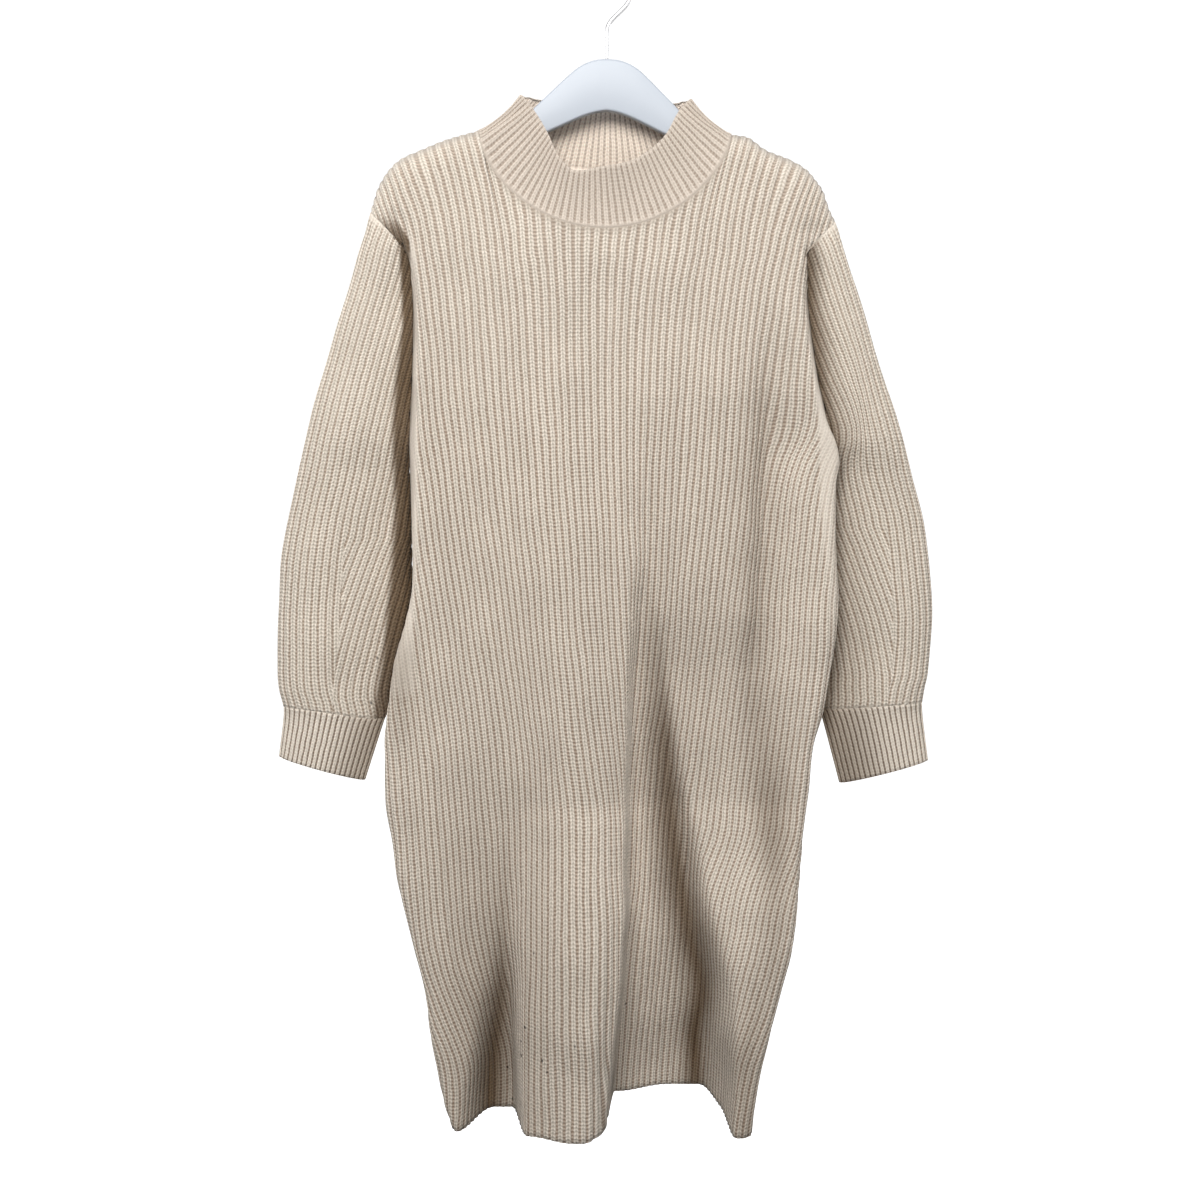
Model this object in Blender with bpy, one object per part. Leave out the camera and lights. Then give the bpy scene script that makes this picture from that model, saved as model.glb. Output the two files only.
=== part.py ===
"""Ribbed sweater dress with a mock neck, hanging on a flat hanger with a wire hook.

Every panel is a thin wall on a surface worked out from sections: the sizes below are in
millimetres, X runs to the viewer's right, Y away from the viewer and Z up. The origin is
the highest point inside the hook, where the hanger rests on its rail.
"""

import math

import bmesh
import bpy
import numpy as np

MM = 0.001
CLOTH = 2.8  # wall of the rib knit
CUFF_CLOTH = 2.6
SEAM_GAP = 0.5  # clear space between two pieces at a seam
HANGER_THICK = 12.0
HANGER_EDGE = 2.5
WIRE_RADIUS = 2.2
HOOK_RADIUS = 25.0

HALF_RIBS = 38  # columns from the plumb wale to a side seam
NECK_LEFT_RIB = -10.5
NECK_RIGHT_RIB = 14.0
SHOULDER_LEVEL_LEFT = -241.0
SHOULDER_LEVEL_RIGHT = -250.0
YOKE_LEVEL = -330.0
YOKE_FLAT = -284.0  # above this level wales run to their own points of the top edge
JOIN_SHARE = 0.37  # how far down the yoke the armhole turns from the shoulder to the side
UNDERARM_LEVEL = -462.0
HEM_LEVEL = -1136.0
HEM_SWING = 0.28  # how far the hem drops for each millimetre that a fold stands forward
BACK_HEM_LEVEL = -1131.0
BACK_HEM_SWING = 0.06
SHOULDER_ROUND = 24.0


def table(columns, *rows):
    """Named columns, one row for each section or fold, as arrays."""
    names = columns.split()
    return {name: np.array([row[i] for row in rows], float) for i, name in enumerate(names)}


# The shoulder's top fold, from the neck point out to the shoulder point.
SHOULDER_LEFT = table(
    "x z",
    (-234, -241),
    (-227, -219),
    (-222, -209),
    (-215, -199),
    (-204, -189),
    (-184, -180),
    (-159, -170),
    (-127, -161),
)
SHOULDER_RIGHT = table(
    "x z",
    (123, -165),
    (137, -167),
    (157, -180),
    (180, -189),
    (197, -199),
    (206, -209),
    (213, -219),
    (220, -238),
    (226, -250),
)
# Necklines: each falls from the neck points as a flattened arch.
NECK_CENTRE = -2.0
NECK_HALF = 125.0
NECK_TOP = -163.0
FRONT_NECK_DROP = 96.0
BACK_NECK_DROP = 34.0
NECK_POWER = 0.62

# Where the front face turns into the side, each row a level.
EDGE_LEFT = table(
    "z x round",
    (-1165, -150, 6),
    (-1122, -163, 8),
    (-1072, -173, 9),
    (-1022, -181, 10),
    (-973, -193, 10),
    (-923, -205, 10),
    (-873, -214, 10),
    (-823, -221, 10),
    (-773, -222, 10),
    (-723, -217, 9),
    (-693, -213, 9),
    (-643, -199, 9),
    (-610, -193, 8),
    (-500, -191, 8),
    (-400, -188.5, 8),
    (-309, -187.5, 8),
    (-274, -191, 5),
    (-255, -207, 1.5),
    (-241, -229, 0.5),
)
EDGE_RIGHT = table(
    "z x round",
    (-1165, 143, 9),
    (-1142, 145, 9),
    (-1116, 149, 8),
    (-1067, 159, 8),
    (-1019, 171, 9),
    (-970, 184, 9),
    (-921, 190, 9),
    (-871, 195, 9),
    (-822, 201, 9),
    (-772, 207, 9),
    (-722, 219, 9),
    (-692, 224, 9),
    (-623, 230, 9),
    (-583, 228, 9),
    (-490, 226, 8),
    (-468, 214, 8),
    (-450, 203, 8),
    (-426, 199, 8),
    (-380, 196, 8),
    (-309, 192.5, 8),
    (-276, 189, 5),
    (-262, 207, 1.5),
    (-250, 222, 0.5),
)
# Armhole edge down to the underarm, side seam below it.
SEAM_LEFT = table(
    "z x front back",
    (-1165, -138, -14, -14),
    (-1100, -155, -8, -8),
    (-1000, -172, 0, 0),
    (-850, -199, 6, 6),
    (-773, -204, 6, 6),
    (-693, -199, 5, 5),
    (-623, -195, 4, 4),
    (-500, -197, 3, 3),
    (-462, -198, 3, 3),
    (-440, -196.5, 2, 8),
    (-400, -194, 1, 12),
    (-330, -192.5, -1, 14),
    (-299, -192.8, -7, 15),
    (-273.93, -199, -16, 16),
    (-241, -234, 0, 0),
)
SEAM_RIGHT = table(
    "z x front back",
    (-1165, 132, -22, -22),
    (-1100, 143, -16, -16),
    (-1000, 165, -4, -4),
    (-850, 188, 6, 6),
    (-773, 196, 7, 7),
    (-693, 206, 7, 7),
    (-623, 208, 6, 6),
    (-500, 206, 5, 5),
    (-462, 205, 4, 4),
    (-440, 203.5, 2, 9),
    (-400, 201.5, 1, 12),
    (-330, 198, -1, 14),
    (-299, 197, -7, 15),
    (-279.6, 196, -15, 16),
    (-250, 226, 0, 0),
)
BACK_EDGE_LEFT = table(
    "z x round",
    (-1165, -142, 10),
    (-1072, -163, 12),
    (-973, -181, 14),
    (-873, -198, 14),
    (-773, -202, 14),
    (-643, -194, 12),
    (-500, -190, 10),
    (-309, -188, 8),
    (-274, -192, 5),
    (-255, -207, 1.5),
    (-241, -229, 0.5),
)
BACK_EDGE_RIGHT = table(
    "z x round",
    (-1165, 136, 10),
    (-1067, 152, 12),
    (-970, 172, 14),
    (-871, 186, 14),
    (-772, 196, 14),
    (-643, 200, 12),
    (-500, 199, 10),
    (-309, 193, 8),
    (-276, 189.5, 5),
    (-262, 207, 1.5),
    (-250, 222, 0.5),
)
# How far each face stands off the hanger's plane beside its left edge.
DEPTH = table(
    "z front back",
    (-1165, 61, 48),
    (-1050, 50, 46),
    (-950, 42, 44),
    (-850, 36, 40),
    (-720, 34, 36),
    (-600, 32, 32),
    (-480, 28, 29),
    (-300, 24, 26),
    (-200, 21, 22),
)


def fold(*rows):
    """One side of a fold: where it lies, how wide it is, and how far it steps back."""
    return table("z x run back", *rows)


FRONT_FOLDS = {
    "left_corner": fold(
        (-1165, -134, 44, 42),
        (-1100, -128, 38, 38),
        (-1050, -121, 36, 28),
        (-950, -106, 50, 10),
        (-850, -95, 60, 0),
    ),
    "bulge_left": fold(
        (-1165, -87, 18, -48),
        (-1060, -90, 22, -42),
        (-1000, -90, 26, -32),
        (-930, -89, 30, -18),
        (-830, -80, 44, 0),
    ),
    "bulge_crown": fold(
        (-1165, -58, 60, -12),
        (-1060, -60, 60, -11),
        (-960, -60, 60, -8),
        (-840, -56, 60, 0),
    ),
    "bulge_round": fold(
        (-1165, -12, 28, 18),
        (-1050, -3, 30, 17),
        (-950, 4, 32, 11),
        (-850, 6, 34, 6),
        (-720, 8, 34, 3),
        (-640, 10, 34, 0),
    ),
    "bulge_right": fold(
        (-1165, 0, 12, 68),
        (-1110, 5, 12, 64),
        (-1050, 11, 12, 56),
        (-950, 18, 11, 44),
        (-850, 20, 11, 36),
        (-720, 22, 13, 27),
        (-650, 27, 20, 21),
        (-580, 33, 26, 14),
        (-480, 34, 30, 6),
        (-420, 34, 30, 0),
    ),
    "hollow": fold(
        (-1165, 32, 60, 12),
        (-1000, 60, 76, 14),
        (-850, 50, 64, 12),
        (-720, 44, 50, 7),
        (-640, 44, 50, 0),
    ),
    "valley_right": fold(
        (-1165, 110, 36, -50),
        (-1090, 112, 38, -54),
        (-1020, 110, 38, -48),
        (-950, 98, 34, -40),
        (-880, 86, 28, -24),
        (-800, 72, 20, -12),
        (-740, 62, 18, -5),
        (-690, 56, 18, 0),
    ),
    "valley_lip": fold(
        (-1165, 121, 13, -40),
        (-1090, 124, 18, -26),
        (-1020, 124, 22, -12),
        (-950, 118, 26, 0),
    ),
    "right_rise": fold(
        (-1165, 120, 60, 0),
        (-1050, 130, 80, -6),
        (-950, 132, 90, -20),
        (-850, 132, 110, -28),
        (-720, 134, 120, -28),
        (-600, 130, 120, -12),
        (-480, 130, 120, 0),
    ),
    "chest_pleat": fold(
        (-940, 138, 36, 0),
        (-860, 140, 34, 6),
        (-720, 138, 30, 10),
        (-620, 147, 24, 17),
        (-480, 150, 22, 17),
        (-390, 148, 26, 9),
        (-330, 146, 30, 0),
    ),
    "chest_pleat_out": fold(
        (-940, 172, 50, 0),
        (-860, 176, 50, -6),
        (-720, 184, 60, -10),
        (-620, 190, 60, -17),
        (-480, 180, 46, -17),
        (-390, 176, 46, -9),
        (-330, 170, 46, 0),
    ),
}
BACK_FOLDS = {
    "left_out": fold(
        (-1165, -98, 30, 46),
        (-1040, -104, 40, 30),
        (-900, -108, 60, 12),
        (-760, -108, 70, 0),
    ),
    "left_in": fold(
        (-1165, -46, 26, -42),
        (-1040, -42, 36, -28),
        (-900, -36, 50, -13),
        (-700, -30, 60, -3),
        (-600, -30, 60, 0),
    ),
    "right_out": fold(
        (-1165, 46, 30, 44),
        (-1040, 44, 40, 30),
        (-880, 40, 56, 16),
        (-680, 36, 60, 5),
        (-520, 36, 60, 0),
    ),
    "right_in": fold(
        (-1165, 106, 24, -50),
        (-1040, 110, 34, -34),
        (-900, 120, 50, -16),
        (-740, 126, 60, -3),
        (-640, 126, 60, 0),
    ),
}

# Where the front's wales lie at each level, numbered from the plumb wale.
WALE_RIBS = np.array([-20.0, -17, -14, -11, -8, -5, -2, 12, 15, 18, 21])
WALES = table(
    "z n20 n17 n14 n11 n8 n5 n2 p12 p15 p18 p21",
    (-1140, -89, -84, -78, -57, -34, -13, 2, 14, 33, 50, 68),
    (-1090, -90, -85, -78, -58, -35, -13.5, 4, 17, 36, 53, 71),
    (-1030, -94, -86, -77, -59, -36.6, -15.4, 5.8, 21.2, 41.3, 58, 77),
    (-970, -101, -88.6, -75.5, -58.8, -37.2, -15.3, 6.8, 26.2, 45.8, 63, 81.4),
    (-910, -106, -90, -75, -58, -37, -15.8, 5.4, 33.4, 50, 66, 84.1),
    (-850, -110, -92, -75, -58.5, -38, -15.8, 4.2, 36, 54.2, 71, 89),
    (-790, -115, -95, -77, -61, -43, -22, -1.7, 41, 60, 77, 96),
    (-730, -122, -102, -84, -67.5, -50, -29.5, -9.5, 49, 67, 85, 103.3),
    (-670, -130, -110.5, -91.5, -73.7, -55.5, -35.5, -15.5, 55, 73, 91, 110.6),
    (-610, -138.9, -118.5, -99, -79.5, -60, -40, -20, 59.7, 77, 96.5, 116.5),
    (-550, -147, -127, -106.5, -86, -65.6, -44.5, -23.5, 62.5, 82, 103, 123),
    (-490, -155, -134.2, -113, -91.5, -70.5, -49, -27.5, 66, 87, 108.5, 129),
    (-430, -161.7, -140.8, -118.5, -96.2, -74.6, -52.3, -30.3, 69.6, 91, 112.2, 132.5),
    (-370, -167.3, -145.9, -123, -100.6, -78.4, -55, -32, 73.4, 95, 116.3, 137),
    (-330, -171.7, -149, -126.1, -103.5, -80.6, -56.5, -32.6, 77.3, 99.4, 121, 142),
    (-284, -174.5, -152, -129, -105.7, -82.6, -58.4, -33.4, 82, 104, 125.8, 147),
)
# Where each wale meets the shoulder's fold or the neckline.
TOP_WALES = table(
    "rib x",
    (-38, -234),
    (-33, -229.5),
    (-28.5, -223.5),
    (-24, -215.5),
    (-20, -206),
    (-17, -180),
    (-14, -155),
    (-10.5, -127),
    (-8, -93),
    (-5, -63),
    (-2, -33),
    (0, -14),
    (3, 13),
    (6, 41),
    (9, 68),
    (12, 99),
    (14, 123),
    (18, 152),
    (21, 175),
    (25, 197),
    (29, 208),
    (33, 216.5),
    (38, 226),
)
# Width of one rib: beyond the numbered wales, and on the back.
PITCH = table("z front back", (-1165, 6.5, 6.5), (-640, 6.5, 6.5), (-550, 6.6, 6.8), (-430, 7.0, 7.3), (-300, 7.6, 7.9))
BACK_PLUMB = table("z x", (-1165, -6), (-800, -8), (-300, -15))

# Sleeves: outer fold, inner fold and half thickness at each level.
SLEEVE_LEFT = table(
    "z x_out y_out x_in y_in half",
    (-800, -334, 6, -232, 12, 14),
    (-747, -326.5, 8, -226, 14, 16),
    (-733, -328, 9, -221, 17, 18),
    (-716, -331.5, 9.5, -216, 20, 20),
    (-700, -332.5, 10, -212, 22, 21),
    (-652, -332, 10, -201, 23, 22),
    (-601, -329, 9, -198, 23, 21),
    (-550, -321.5, 8, -198, 20, 20),
    (-500, -309.5, 6, -198.5, 13, 18),
    (-462, -300, 5, -199, 3, 17),
    (-400, -283.5, 4, -201, 4, 17),
    (-351, -268.5, 3, -203, 4, 17),
    (-301, -252, 2, -202, 3, 17),
    (-274, -243.8, 1, -200, 1, 16.5),
    (-257, -238.3, 0.5, -216, 0.5, 12.5),
    (-248, -236, 0.2, -225, 0.2, 8),
    (-241, -234, 0, -233, 0, 0.5),
)
SLEEVE_RIGHT = table(
    "z x_out y_out x_in y_in half",
    (-800, 327, 6, 234, 14, 14),
    (-747, 319, 8, 219, 16, 16),
    (-733, 319.5, 9, 216.5, 19, 17.5),
    (-716, 322, 9.5, 216, 22, 18.5),
    (-700, 326, 10, 216, 24, 19),
    (-652, 329, 10, 214, 25, 19),
    (-601, 325, 9, 214, 25, 18),
    (-550, 319, 8, 214, 23, 16),
    (-500, 306, 6, 211, 17, 14),
    (-462, 295, 5, 206, 4, 16),
    (-400, 276, 4, 206, 4, 16.5),
    (-351, 259, 3, 207, 4, 16.5),
    (-301, 243, 2, 205, 3, 16.5),
    (-279, 235.5, 1, 197, 1, 15.5),
    (-264, 230.5, 0.5, 210.5, 0.5, 11),
    (-256, 228, 0.2, 219, 0.2, 7),
    (-250, 226, 0, 225, 0, 0.5),
)
# Cuffs: the seam line and the open end, each a tilted ring.
CUFF_LEFT = table("x_out z_out x_in z_in y half", (-326.5, -735, -226, -747, 11, 14.5), (-333, -785, -246, -809, 8, 15.5))
CUFF_RIGHT = table("x_out z_out x_in z_in y half", (319, -731, 217, -737, 12, 14.5), (326.5, -789, 237, -812, 9, 15.5))

# Collar: its upper rim. The side folds are the two peaks.
COLLAR_PEAK_LEFT = (-86.0, -126.0)
COLLAR_PEAK_RIGHT = (84.0, -130.0)
COLLAR_FRONT = table(
    "x y z",
    (-86, 0, -126),
    (-74, -13, -141),
    (-58, -19, -168),
    (-49, -22, -188),
    (-30, -25, -204),
    (-4, -27, -200),
    (22, -26, -195),
    (44, -21, -182),
    (58, -19, -168),
    (72, -13, -143),
    (84, 0, -130),
)
COLLAR_BACK = table(
    "x y z",
    (-86, 0, -126),
    (-72, 13, -128),
    (-40, 22, -131),
    (0, 25, -133),
    (40, 22, -133),
    (70, 13, -132),
    (84, 0, -130),
)

# Hanger: top and bottom edge at each distance from its middle.
HANGER = table(
    "x top bottom",
    (0, -92, -142),
    (9, -92.6, -143.5),
    (18, -95, -146),
    (28, -100, -150),
    (40, -110, -155.5),
    (54, -123.5, -162),
    (68, -137, -168.5),
    (84, -153.5, -178),
    (104, -169.5, -190),
    (130, -181.5, -200.5),
    (158, -188, -209),
    (182, -194, -216),
    (194, -199, -220),
    (200, -205, -220),
    (204, -211, -216),
)
HANGER_TILT = 1.2  # degrees that it dips to the right
HANGER_MIDDLE = 1.0


def along(values, xs, at):
    """Smooth monotone curve through rows (xs ascending or descending)."""
    xs, values = np.asarray(xs, float), np.asarray(values, float)
    if xs[0] > xs[-1]:
        xs, values = xs[::-1], values[::-1]
    at = np.clip(np.asarray(at, float), xs[0], xs[-1])
    width = np.diff(xs)
    rate = np.diff(values) / width
    slope = np.zeros(len(xs))
    slope[0], slope[-1] = rate[0], rate[-1]
    for i in range(1, len(xs) - 1):
        if rate[i - 1] * rate[i] > 0:
            a, b = 2 * width[i] + width[i - 1], width[i] + 2 * width[i - 1]
            slope[i] = (a + b) / (a / rate[i - 1] + b / rate[i])
    i = np.clip(np.searchsorted(xs, at, side="right") - 1, 0, len(width) - 1)
    t = (at - xs[i]) / width[i]
    h = width[i]
    return (
        (2 * t**3 - 3 * t**2 + 1) * values[i]
        + (t**3 - 2 * t**2 + t) * h * slope[i]
        + (3 * t**2 - 2 * t**3) * values[i + 1]
        + (t**3 - t**2) * h * slope[i + 1]
    )


def at_level(rows, name, z):
    return along(rows[name], rows["z"], z)


def seam_line(rows, name, z):
    """The armhole and side seam at one level: over the shoulder straight from the front and round from the side, smooth below it."""
    join, top = rows["z"][-2], rows["z"][-1]
    share = np.clip((z - join) / (top - join), 0, 1)
    if name == "x":
        over = rows[name][-2] + (rows[name][-1] - rows[name][-2]) * share
    else:
        over = rows[name][-2] * np.sqrt(1 - share**2)
    return np.where(np.asarray(z) > join, over, along(rows[name][:-1], rows["z"][:-1], z))


def ease(t):
    t = np.clip(t, 0, 1)
    return t * t * t * (t * (6 * t - 15) + 10)


def neckline(x, drop):
    xi = np.clip((np.asarray(x, float) - NECK_CENTRE) / NECK_HALF, -1, 1)
    return NECK_TOP - drop * (1 - xi**2) ** NECK_POWER


def shoulder(x):
    """Height of the shoulder's top fold, carried on over the neck."""
    x = np.asarray(x, float)
    left = along(SHOULDER_LEFT["z"], SHOULDER_LEFT["x"], x)
    right = along(SHOULDER_RIGHT["z"], SHOULDER_RIGHT["x"], x)
    neck_left, neck_right = SHOULDER_LEFT["x"][-1], SHOULDER_RIGHT["x"][0]
    return np.where(x <= neck_left, left, np.where(x >= neck_right, right, -120.0))


def to_fold(x, z):
    """Distance from a point of a face to the shoulder's top fold, seen from the front."""
    best = np.full(np.broadcast(x, z).shape, 1e9)
    for rows in (SHOULDER_LEFT, SHOULDER_RIGHT):
        px = np.linspace(rows["x"][0], rows["x"][-1], 41)
        pz = along(rows["z"], rows["x"], px)
        for i in range(40):
            dx, dz = px[i + 1] - px[i], pz[i + 1] - pz[i]
            t = np.clip(((x - px[i]) * dx + (z - pz[i]) * dz) / (dx * dx + dz * dz), 0, 1)
            best = np.minimum(best, np.hypot(x - px[i] - t * dx, z - pz[i] - t * dz))
    return best


def standing(x, z, side):
    """How far a face stands off the hanger's plane: its hang, its folds and the roll over the shoulder."""
    depth = at_level(DEPTH, side, z) + 0.0 * x
    for rows in (FRONT_FOLDS if side == "front" else BACK_FOLDS).values():
        run = at_level(rows, "run", z)
        step = at_level(rows, "back", z) * ease((x - at_level(rows, "x", z)) / run + 0.5)
        depth = depth - step if side == "front" else depth + step
    depth = depth + 6 * ease((z + 380) / 120) * np.clip(1 - (x / 150) ** 2, 0, 1)
    t = np.clip(to_fold(x, z) / SHOULDER_ROUND, 0, 1)
    return depth * np.sqrt(1 - (1 - t) ** 2)


def panel_section(z, side, samples=240):
    """The panel's line at one level, from the left seam to the right seam."""
    left, right = (EDGE_LEFT, EDGE_RIGHT) if side == "front" else (BACK_EDGE_LEFT, BACK_EDGE_RIGHT)
    xl, xr = float(at_level(left, "x", z)), float(at_level(right, "x", z))
    rl, rr = float(at_level(left, "round", z)), float(at_level(right, "round", z))
    s = np.linspace(0, 1, samples)
    x = xl + (xr - xl) * s
    x = np.sort(np.concatenate([x, xl + rl * (1 - np.cos(np.linspace(0, math.pi / 2, 12)[1:])), xr - rr * (1 - np.cos(np.linspace(0, math.pi / 2, 12)[1:]))]))
    y = standing(x, np.full_like(x, z), side)
    for edge, r in ((xl, rl), (xr, rr)):
        t = np.clip(np.abs(x - edge) / max(r, 0.1), 0, 1)
        y = y - r * (1 - np.sqrt(1 - (1 - t) ** 2))
    y = -y if side == "front" else y
    gap = -0.5 * SEAM_GAP if side == "front" else 0.5 * SEAM_GAP
    ends = [
        (float(seam_line(rows, "x", z)), float(seam_line(rows, side, z)) + gap)
        for rows in (SEAM_LEFT, SEAM_RIGHT)
    ]
    line = np.column_stack([x, y])
    return np.vstack([[ends[0]], line, [ends[1]]])


def wales(z, side, ribs):
    """x, y and true rib number of a panel's columns at one level."""
    line = panel_section(z, side, 420)
    length = np.concatenate([[0], np.cumsum(np.hypot(*np.diff(line, axis=0).T))])
    pitch = float(at_level(PITCH, side, z))
    if side == "front":
        named = [float(at_level(WALES, name, z)) for name in WALES if name != "z"]
        known = np.interp(named, line[1:-1, 0], length[1:-1])
    else:
        known = float(np.interp(at_level(BACK_PLUMB, "x", z), line[1:-1, 0], length[1:-1])) + WALE_RIBS * pitch
    first, last = known[0], known[-1]
    low, high = WALE_RIBS[0], WALE_RIBS[-1]
    place = along(known, WALE_RIBS, np.clip(ribs, low, high))
    place = np.where(ribs < low, first * (ribs + HALF_RIBS) / (low + HALF_RIBS), place)
    place = np.where(ribs > high, last + (length[-1] - last) * (ribs - high) / (HALF_RIBS - high), place)
    number = np.where(ribs < low, low - (first - place) / pitch, np.where(ribs > high, high + (place - last) / pitch, ribs))
    return np.interp(place, length, line[:, 0]), np.interp(place, length, line[:, 1]), number


def yoke_depth(x, z, side):
    """How far a face stands off the hanger's plane near the shoulder.

    Beside the armhole it lies back with the sleeve; the turn to the body's own depth is soft
    over the shoulder and draws together into an edge lower down."""
    own = standing(x, z, side)
    for rows, top in ((SEAM_LEFT, SHOULDER_LEVEL_LEFT), (SEAM_RIGHT, SHOULDER_LEVEL_RIGHT)):
        edge = seam_line(rows, "x", z)
        at_seam = np.abs(seam_line(rows, side, z))
        down = np.clip((top - z) / 42, 0, 1)
        inside = np.abs(edge) - np.abs(x)
        start = (1 - down) * np.clip(inside * 0.25, 0, 6)
        at_seam = np.maximum(at_seam, 0.62 * own * (1 - down))
        width = 34 - 25 * ease(down)
        near = np.clip((inside - start) / width, 0, 1)
        turned = near * near * (3 - 2 * near) * (1 - down) + np.sqrt(1 - (1 - near) ** 2) * down
        own = np.where(np.sign(x) == np.sign(edge), np.minimum(own, at_seam + (own - at_seam) * turned), own)
    return own


def panel_grid(side, ribs, yoke_shares, body_levels, tuck=0.0):
    """Points and true rib numbers of a panel's outer face: rows from the top edge to the hem, a column for each of ribs.

    tuck keeps the first columns beside the armhole's corner in from the seam, for coarse grids."""
    levels = np.arange(YOKE_FLAT, -1191, -6.0)
    sampled = [wales(z, side, ribs) for z in levels]
    xs, ys, ns = (np.array([s[i] for s in sampled])[::-1] for i in range(3))
    up = levels[::-1]
    columns = np.arange(len(ribs))

    def read(z, values):
        place = np.clip((z - up[0]) / (up[1] - up[0]), 0, len(up) - 1.001)
        low = place.astype(int)
        share = place - low
        return values[low, columns] * (1 - share) + values[low + 1, columns] * share

    drop = FRONT_NECK_DROP if side == "front" else BACK_NECK_DROP
    sign = -1 if side == "front" else 1
    left, right = int(np.argmin(np.abs(ribs - NECK_LEFT_RIB))), int(np.argmin(np.abs(ribs - NECK_RIGHT_RIB)))
    top_x = along(TOP_WALES["x"], TOP_WALES["rib"], ribs)
    inside = (columns > left) & (columns < right)
    top_z = np.where(inside, neckline(top_x, drop), shoulder(np.clip(top_x, SHOULDER_LEFT["x"][0], SHOULDER_RIGHT["x"][-1])))
    top_n = np.where(ribs < -20, -20 + (ribs + 20) * 7.2 / 18, np.where(ribs > 21, 21 + (ribs - 21) * 10 / 17, ribs))
    flat = np.full(len(ribs), YOKE_FLAT)
    flat_x = read(flat, xs)
    rows, numbers = [], []
    for share in yoke_shares:
        z = top_z + (YOKE_LEVEL - top_z) * share
        lean = np.clip((z - YOKE_LEVEL) / (top_z - YOKE_LEVEL), 0, 1) ** 1.9
        low = np.minimum(z, flat)
        x = read(low, xs) + (top_x - flat_x) * lean
        # No column crosses the armhole seam.
        below, keep = (10, tuck * np.clip(np.minimum(columns, columns[::-1]), 0, 3)) if tuck and share > 0.3 else (0, 0)
        x = np.clip(x, seam_line(SEAM_LEFT, "x", z - below) + keep, seam_line(SEAM_RIGHT, "x", z - below) - keep)
        blend = ease((z - YOKE_FLAT + 24) / 30)
        own_y = sign * np.maximum(yoke_depth(x, z, side), 0.5 * SEAM_GAP)
        y = read(low, ys) * (1 - blend) + own_y * blend
        for j, seams in ((0, SEAM_LEFT), (-1, SEAM_RIGHT)):
            x[j] = float(seam_line(seams, "x", z[j]))
            y[j] = float(seam_line(seams, side, z[j])) + sign * 0.5 * SEAM_GAP
        rows.append(np.column_stack([x, y, z]))
        numbers.append(read(low, ns) * (1 - lean) + top_n * lean)
    tip_y = read(np.full(len(ribs), -1140.0), ys)
    level, swing = (HEM_LEVEL, HEM_SWING) if side == "front" else (BACK_HEM_LEVEL, BACK_HEM_SWING)
    toward = np.where(tip_y < 0, 1, -1) if side == "front" else 1
    hem = level - swing * np.abs(tip_y) * toward
    for z0 in body_levels:
        z = np.full(len(ribs), float(z0))
        if z0 < -900:
            z = -900 + (z0 + 900) * (hem + 900) / (body_levels[-1] + 900)
        rows.append(np.column_stack([read(z, xs), read(z, ys), z]))
        numbers.append(read(z, ns))
    return np.array(rows), np.array(numbers), left, right


def sleeve_ring(z, rows, seams, arcs):
    """Points of a sleeve's section at one level. arcs run from -1, the front of the seam, over 0, the outer fold, to 1."""
    out = np.array([float(at_level(rows, "x_out", z)), float(at_level(rows, "y_out", z))])
    into = np.array([float(at_level(rows, "x_in", z)), float(at_level(rows, "y_in", z))])
    half = float(at_level(rows, "half", z))
    middle, reach = (out + into) / 2, (out - into) / 2
    across = np.array([-reach[1], reach[0]]) / max(np.hypot(*reach), 1e-6)
    if across[1] < 0:
        across = -across
    turn = np.linspace(-math.pi, math.pi, 961)
    if z > UNDERARM_LEVEL:
        # The section is open towards the body, more so over the shoulder.
        opening = 0.12 + 0.2 * float(ease((z + 400) / 100))
        turn = turn * (1 - opening * float(ease((z - UNDERARM_LEVEL) / 40)))
    side = np.sign(np.sin(turn)) * np.abs(np.sin(turn)) ** 0.9
    line = middle + np.outer(np.cos(turn), reach) + np.outer(side, across) * half
    if z > UNDERARM_LEVEL:
        x = float(seam_line(seams, "x", z)) + math.copysign(SEAM_GAP, out[0])
        ends = [np.array([x, float(seam_line(seams, name, z))]) for name in ("front", "back")]
        weight = (np.abs(turn) / abs(turn[0])) ** 6
        shift_front, shift_back = ends[0] - line[0], ends[1] - line[-1]
        line = line + np.where((turn < 0)[:, None], weight[:, None] * shift_front, weight[:, None] * shift_back)
        line[:, 0] = np.where(np.abs(line[:, 0]) < abs(x), x, line[:, 0])
        line[0], line[-1] = ends
    length = np.concatenate([[0], np.cumsum(np.hypot(*np.diff(line, axis=0).T))])
    centre = float(np.interp(0, turn, length))
    want = np.where(arcs < 0, centre + arcs * centre, centre + arcs * (length[-1] - centre))
    return np.column_stack([np.interp(want, length, line[:, 0]), np.interp(want, length, line[:, 1])])


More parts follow.
